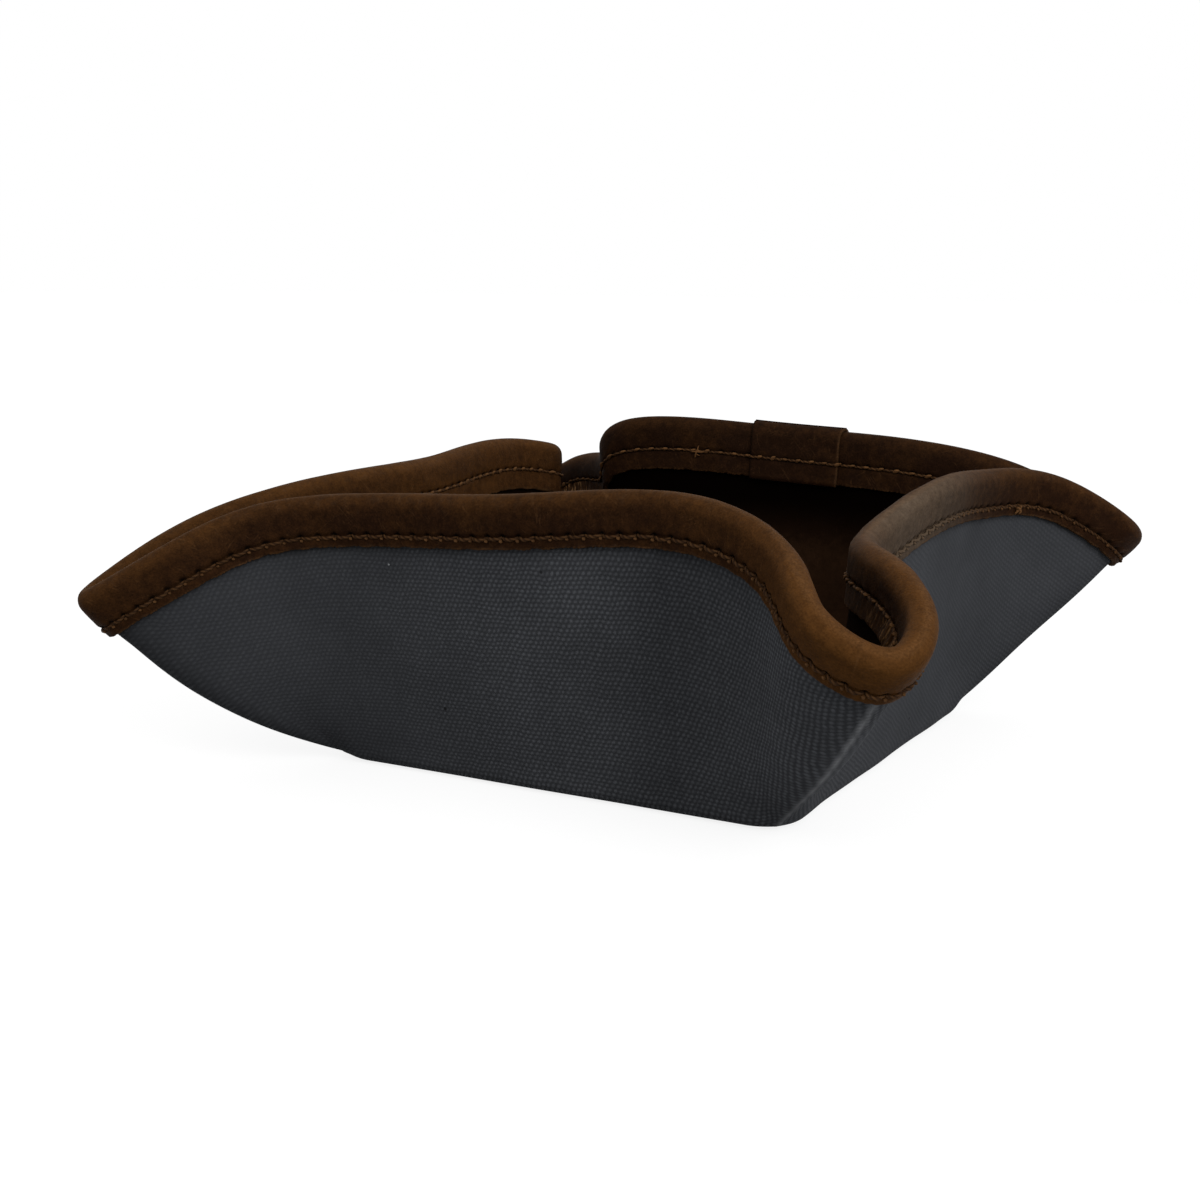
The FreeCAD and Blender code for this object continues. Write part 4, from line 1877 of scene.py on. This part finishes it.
@dataclass(frozen=True)
class Tie:
    """Frayed strands where a row was tied off, in mm.

    Attributes:
        place: Place round the rim, in half ears.
        drop: How far the strands lie below the sewing.
        spread: How far they stand apart.
        reach: Half their typical length.
        radius: Range of their radius.
        strands: How many there are.
    """

    place: float
    drop: float
    spread: float
    reach: float
    radius: tuple[float, float]
    strands: int


TIES = {
    Face.OUTSIDE: Tie(4.515, 0.75, 0.30, 0.42, (0.20, 0.30), 10),
    Face.INSIDE: Tie(6.20, 0.10, 0.35, 0.60, (0.13, 0.20), 6),
}


@dataclass
class StitchRow:
    """One row of sewing: a plied stitch from hole to hole, and a knot at each hole.

    Attributes:
        sides: Points round a thread.
        knot_steps: Rings of a knot or a loose strand.
        lay: Length of half a turn of the plies, in mm.
        ply_depth: How far the plies stand out, as a share of the radius.
        way: Where a stitch starts between its holes and how much of the way it takes.
        sag_range: Range of the sag, as shares of the row's own.
        below_hole: How far a stitch lies below its holes, in mm.
        taper: Radius at a stitch's ends and what its middle adds, as shares.
        knot_arch: How far a knot's middle stands up, in mm.
        knot_range: Range of the knots' radius, as shares of the row's own.
        strand_lift: Range of a loose strand's height, in mm.
        strand_arch: How far a strand's middle stands up, in mm.
        rounding: How far knots and strands are rounded off at their ends.
        seed: Seed of the row's unevenness, to which the face's number is added.
    """

    sewing: Sewing
    face: Face
    sides: int = 10
    steps: int = 16
    knot_steps: int = 9
    lay: float = 1.15
    ply_depth: float = 0.16
    way: tuple[float, float] = (0.04, 0.92)
    sag_range: tuple[float, float] = (0.6, 1.4)
    below_hole: float = 0.05
    taper: tuple[float, float] = (0.82, 0.18)
    knot_arch: float = 0.12
    knot_range: tuple[float, float] = (0.85, 1.15)
    strand_lift: tuple[float, float] = (0.1, 0.45)
    strand_arch: float = 0.3
    rounding: float = 0.97
    seed: int = 40

    def tubes(self, u: Array, depth: Array, lift: Array, twist: Array,
              radius: Array) -> tuple[Array, Array, Array]:
        """Two-ply tubes over the strip, or over the lap where it lies.

        Args:
            u: Places round the rim, in one row for each tube.
            depth: Depths under the crest at the same places.
            lift: Heights over the leather at the same places.
            twist: Turn of the plies at the same places.
            radius: Radius at the same places.

        Returns:
            Points of the tubes, a value that is 1 on the plies and 0 between them, and the bloomed wax
            with painted sheen.
        """
        s = self.sewing
        seat = s.outside + (s.lap_outside - s.outside) * s.on_lap(u)

        def over(rise: float) -> Array:
            """The tubes' paths, raised off the leather."""
            amount = self.face.value * (seat + lift + rise)
            return s.at(u.ravel(), depth.reshape(1, -1), amount.reshape(1, -1)).reshape(*u.shape, 3)

        path = over(0.0)
        tangent = unit(np.gradient(path, axis=1))
        side = unit(np.cross(tangent, over(0.5) - path))
        out = np.cross(side, tangent)
        angle = np.arange(self.sides) * 2 * np.pi / self.sides
        lobe = np.cos(2 * (angle - twist[..., None]))
        size = radius[..., None] * (1 + self.ply_depth * lobe)
        points = (path[:, :, None] + out[:, :, None] * (size * np.cos(angle))[..., None]
                  + side[:, :, None] * (size * np.sin(angle))[..., None])
        # Bloomed wax with painted sheen, on the outside row only.
        bloom_and_sheen = s.bloom_and_sheen(u) if self.face is Face.OUTSIDE else np.zeros_like(u)
        return points, 0.5 + 0.5 * lobe, bloom_and_sheen[..., None] * np.ones_like(lobe)

    def tube_faces(self, tubes: int, steps: int, start: int) -> list[list[int]]:
        """Faces of closed tubes with flat ends.

        Args:
            tubes: How many tubes.
            steps: Rings of each tube.
            start: Number of their first point.

        Returns:
            Corner numbers of each face.
        """
        size = steps * self.sides
        one = np.array(ring_faces(steps, self.sides, False))[:, ::-1]
        faces = []
        for tube in range(tubes):
            base = start + tube * size
            faces += (one + base).tolist()
            faces.append([base + side for side in range(self.sides)])
            faces.append([base + size - 1 - side for side in range(self.sides)])
        return faces

    def rounded(self, part: Array) -> Array:
        """Radius of a knot or a strand from its middle at 0 to its ends at -1 and 1."""
        return np.sqrt(1 - (self.rounding * part) ** 2)

    @staticmethod
    def matted(ply: Array) -> Array:
        """Plies of a knot or a strand, which show less than a stitch's."""
        return 0.45 + 0.55 * ply

    def stitches(self, dice: np.random.Generator) -> tuple[Array, ...]:
        """The threads from hole to hole.

        Args:
            dice: Source of their unevenness.

        Returns:
            Their points, ply, tone, and bloomed wax with painted sheen.
        """
        s, look = self.sewing, STITCHES[self.face]
        count = len(s.holes) - 1
        share = np.linspace(0, 1, self.steps)
        arch = np.sin(np.pi * share)
        each = np.ones((count, 1))
        start, taken = self.way
        ends, middle = self.taper
        u = s.holes[:-1, None] + np.diff(s.holes)[:, None] * (start + taken * share)
        depth = s.depth + self.below_hole + look.sag * dice.uniform(*self.sag_range, (count, 1)) * arch
        depth = depth + dice.normal(0, 0.03, (count, 1))
        lift = (-look.dip + (look.dip + look.lift) * arch ** 0.6) * each
        twist = share * s.pitch / self.lay * np.pi + dice.uniform(0, np.pi, (count, 1))
        radius = look.radius * (ends + middle * arch) * each
        points, ply, bloom_and_sheen = self.tubes(u, depth, lift, twist, radius)
        tone = dice.uniform(*look.tone, count)[:, None, None] * np.ones_like(ply)
        return points, ply, tone, bloom_and_sheen

    def knots(self, dice: np.random.Generator) -> tuple[Array, ...]:
        """The knots at the holes.

        Args:
            dice: Source of their unevenness.

        Returns:
            Their points, ply, tone, and bloomed wax with painted sheen.
        """
        s, look = self.sewing, STITCHES[self.face]
        count = len(s.holes) - 1
        part = np.linspace(-1, 1, self.knot_steps)
        per_mm = np.gradient(s.holes)[:-1, None] / s.pitch
        u = s.holes[:-1, None] + per_mm * (part * look.knot_length + dice.normal(0.0, 0.06, (count, 1)))
        slant = look.knot_slant * dice.normal(1.0, 0.4, (count, 1))
        depth = s.depth + look.knot_drop + slant * part
        lift = look.knot_lift + self.knot_arch * np.cos(part * np.pi / 2) * np.ones((count, 1))
        radius = look.knot_radius * dice.uniform(*self.knot_range, (count, 1)) * self.rounded(part)
        points, ply, bloom_and_sheen = self.tubes(u, depth, lift, 1.2 * part + 3 * slant, radius)
        tone = dice.uniform(*look.knot_tone, count)[:, None, None] * np.ones_like(ply)
        return points, self.matted(ply), tone, bloom_and_sheen

    def tie(self, dice: np.random.Generator) -> tuple[Array, ...]:
        """The frayed strands where the row was tied off.

        Args:
            dice: Source of their unevenness.

        Returns:
            Their points, ply, tone, and bloomed wax with painted sheen.
        """
        s, look = self.sewing, TIES[self.face]
        part = np.linspace(-1, 1, self.knot_steps)
        each = (look.strands, 1)
        per_mm = HALF_EARS / (len(s.holes) * s.pitch)
        along = dice.normal(0, look.spread, each) + part * dice.normal(0.2, look.reach, each)
        u = look.place + per_mm * along
        depth = s.depth + dice.normal(look.drop, look.spread, each)
        depth = depth + part * dice.normal(0, look.reach, each)
        lift = dice.uniform(*self.strand_lift, each) + self.strand_arch * np.cos(part * np.pi / 2)
        radius = dice.uniform(*look.radius, each) * self.rounded(part)
        points, ply, bloom_and_sheen = self.tubes(u, depth, lift, 2 * part + 0 * u, radius)
        return points, self.matted(ply), np.ones_like(ply), bloom_and_sheen

    def build(self) -> Piece:
        """All stitches, knots and the tie of the row as one piece.

        Returns:
            The piece with the values that its finish reads.
        """
        dice = np.random.default_rng(self.seed + self.face.value)
        parts = [self.stitches(dice), self.knots(dice), self.tie(dice)]
        faces, start = [], 0
        for points, *_ in parts:
            faces += self.tube_faces(*points.shape[:2], start)
            start += points.size // 3
        values = {name: np.concatenate([part[number].ravel() for part in parts])
                  for number, name in ((1, "ply"), (2, "tone"), (3, "bloom_and_sheen"))}
        points = np.concatenate([part[0].reshape(-1, 3) for part in parts])
        return Piece(f"{self.node()}_row", points, faces, values)

    def node(self) -> str:
        """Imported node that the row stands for."""
        return "bobbin_thread" if self.face is Face.INSIDE else "needle_thread"

    def dress(self, piece: Piece, thread: bpy.types.Material) -> None:
        """Give the row its finish."""
        piece.make(thread, self.node())


@dataclass
class Studio:
    """White studio: floor, sky, one soft lamp and the camera at the photograph's place.

    Attributes:
        azimuth: Camera's turn round the tray, in degrees.
        elevation: Camera's height angle, in degrees.
        distance: From the camera to the plane through the tray's middle, in mm.
        shift_right: Camera's place to the right of the middle, in mm.
        shift_up: Camera's place above the middle, in mm.
        focal: Focal length in pixels of the photograph.
        picture: Width of the photograph in pixels.
        near_clip: Where the camera starts to see, in mm.
        floor_opening: Half the width of the floor's opening under the base, in mm.
        floor_drop: How far the floor lies under the base, in mm.
        floor_glow: How bright it shows.
        floor_tone: How much light it sends back.
        sky: Strength of the sky's light.
        lamp_aim: The point that the lamp is aimed at, in mm.
        lamp_power: Its power, in watts.
    """

    azimuth: float = 29.25
    elevation: float = 11.21
    distance: float = 356.7
    shift_right: float = -12.6
    shift_up: float = 26.8
    focal: float = 1768.0
    picture: float = 1200.0
    sensor: float = 36.0
    near_clip: float = 10.0
    floor_half: float = 3000.0
    floor_opening: float = 43.0
    floor_drop: float = 0.2
    floor_glow: float = 0.84
    floor_tone: float = 0.20
    sky: float = 0.92
    lamp_place: tuple[float, float, float] = (580.0, -400.0, 450.0)
    lamp_aim: tuple[float, float, float] = (0.0, 0.0, 25.0)
    lamp_size: float = 420.0
    lamp_power: float = 3.5

    def camera(self) -> None:
        """Camera of the photograph."""
        turn, tilt = math.radians(self.azimuth), math.radians(self.elevation)
        right = Vector((math.cos(turn), math.sin(turn), 0))
        ahead = Vector((-math.sin(turn) * math.cos(tilt), math.cos(turn) * math.cos(tilt),
                        -math.sin(tilt)))
        up = right.cross(ahead)
        data = bpy.data.cameras.new("photo_camera")
        data.sensor_width = self.sensor
        data.lens = self.sensor * self.focal / self.picture
        data.clip_start = self.near_clip * MM
        data.dof.use_dof = False
        made = bpy.data.objects.new("photo_camera", data)
        place = right * self.shift_right + up * self.shift_up - ahead * self.distance
        turned = Matrix((right, up, -ahead)).transposed().to_4x4()
        made.matrix_world = Matrix.Translation(place * MM) @ turned
        bpy.context.scene.collection.objects.link(made)
        bpy.context.scene.camera = made

    @staticmethod
    def seen_rays(sketch: Sketch) -> Socket:
        """Tell rays that show the studio from those that light the tray.

        Args:
            sketch: Nodes of the floor or the sky.

        Returns:
            1 for rays from the camera, and for mirrored and refracted ones.
        """
        rays = sketch.node("ShaderNodeLightPath")
        seen = sketch.math("MAXIMUM", rays.outputs["Is Camera Ray"], rays.outputs["Is Glossy Ray"])
        return sketch.math("MAXIMUM", seen, rays.outputs["Is Transmission Ray"])

    def floor(self) -> None:
        """Pale floor that shows white and keeps a faint shadow; clear from below.

        It is open where the tray's base covers it, so that light reaches the base from below.
        """
        turns = ((-1, -1), (1, -1), (1, 1), (-1, 1))
        points = [(x * half * MM, y * half * MM, -self.floor_drop * MM)
                  for half in (self.floor_half, self.floor_opening) for x, y in turns]
        faces = [(here, (here + 1) % 4, (here + 1) % 4 + 4, here + 4) for here in range(4)]
        mesh = bpy.data.meshes.new("studio_floor")
        mesh.from_pydata(points, [], faces)
        material = bpy.data.materials.new("studio_floor")
        material.use_nodes = True
        material.node_tree.nodes.clear()
        sketch = Sketch(material.node_tree)
        matt = sketch.node("ShaderNodeBsdfDiffuse")
        matt.inputs["Color"].default_value = (self.floor_tone,) * 3 + (1,)
        glow = sketch.node("ShaderNodeEmission")
        sketch.feed(glow.inputs["Strength"],
                    sketch.math("MULTIPLY", self.seen_rays(sketch), self.floor_glow))
        both = sketch.node("ShaderNodeAddShader")
        sketch.feed(both.inputs[0], matt.outputs[0])
        sketch.feed(both.inputs[1], glow.outputs[0])
        clear = sketch.node("ShaderNodeBsdfTransparent")
        facing = sketch.node("ShaderNodeNewGeometry")
        choose = sketch.node("ShaderNodeMixShader")
        sketch.feed(choose.inputs[0], facing.outputs["Backfacing"])
        sketch.feed(choose.inputs[1], both.outputs[0])
        sketch.feed(choose.inputs[2], clear.outputs[0])
        result = sketch.node("ShaderNodeOutputMaterial")
        sketch.feed(result.inputs["Surface"], choose.outputs[0])
        mesh.materials.append(material)
        made = bpy.data.objects.new("studio_floor", mesh)
        bpy.context.scene.collection.objects.link(made)

    def world(self) -> None:
        """Soft even sky that shows white."""
        world = bpy.data.worlds.new("studio_sky")
        world.use_nodes = True
        sketch = Sketch(world.node_tree)
        back = world.node_tree.nodes["Background"]
        back.inputs["Color"].default_value = (1, 1, 1, 1)
        sketch.feed(back.inputs["Strength"],
                    sketch.math("MAXIMUM", self.seen_rays(sketch), self.sky))
        bpy.context.scene.world = world

    def lamp(self) -> None:
        """Square soft lamp aimed at the tray, like a window."""
        data = bpy.data.lights.new("window", "AREA")
        data.size = self.lamp_size * MM
        data.energy = self.lamp_power
        made = bpy.data.objects.new("window", data)
        made.location = Vector(self.lamp_place) * MM
        aim = Vector(self.lamp_aim) - Vector(self.lamp_place)
        made.rotation_euler = aim.to_track_quat("-Z", "Y").to_euler()
        bpy.context.scene.collection.objects.link(made)

    def build(self) -> None:
        """The whole studio."""
        self.camera()
        self.floor()
        self.world()
        self.lamp()
        bpy.context.scene.view_settings.view_transform = "Standard"


def main() -> None:
    """Build every piece on the frame, then the studio."""
    logging.basicConfig(level=logging.INFO, format="%(name)s %(message)s")
    form = TrayForm()
    sewing = Sewing(form)
    LOG.info("%d stitches round the rim", len(sewing.holes) - 1)
    hide, thread = PullUpHide().material(), WaxedThread().material()
    canvas = CanvasShell(form)
    canvas.dress(canvas.build())
    lining = LeatherLining(form)
    lining.dress(lining.build())
    binding = RimBinding(form, sewing)
    binding.dress(binding.build(), hide)
    lap = BindingLap(sewing)
    lap.dress(lap.build(), hide)
    for face in Face:
        row = StitchRow(sewing, face)
        row.dress(row.build(), thread)
    Studio().build()


if __name__ == "__main__":
    main()
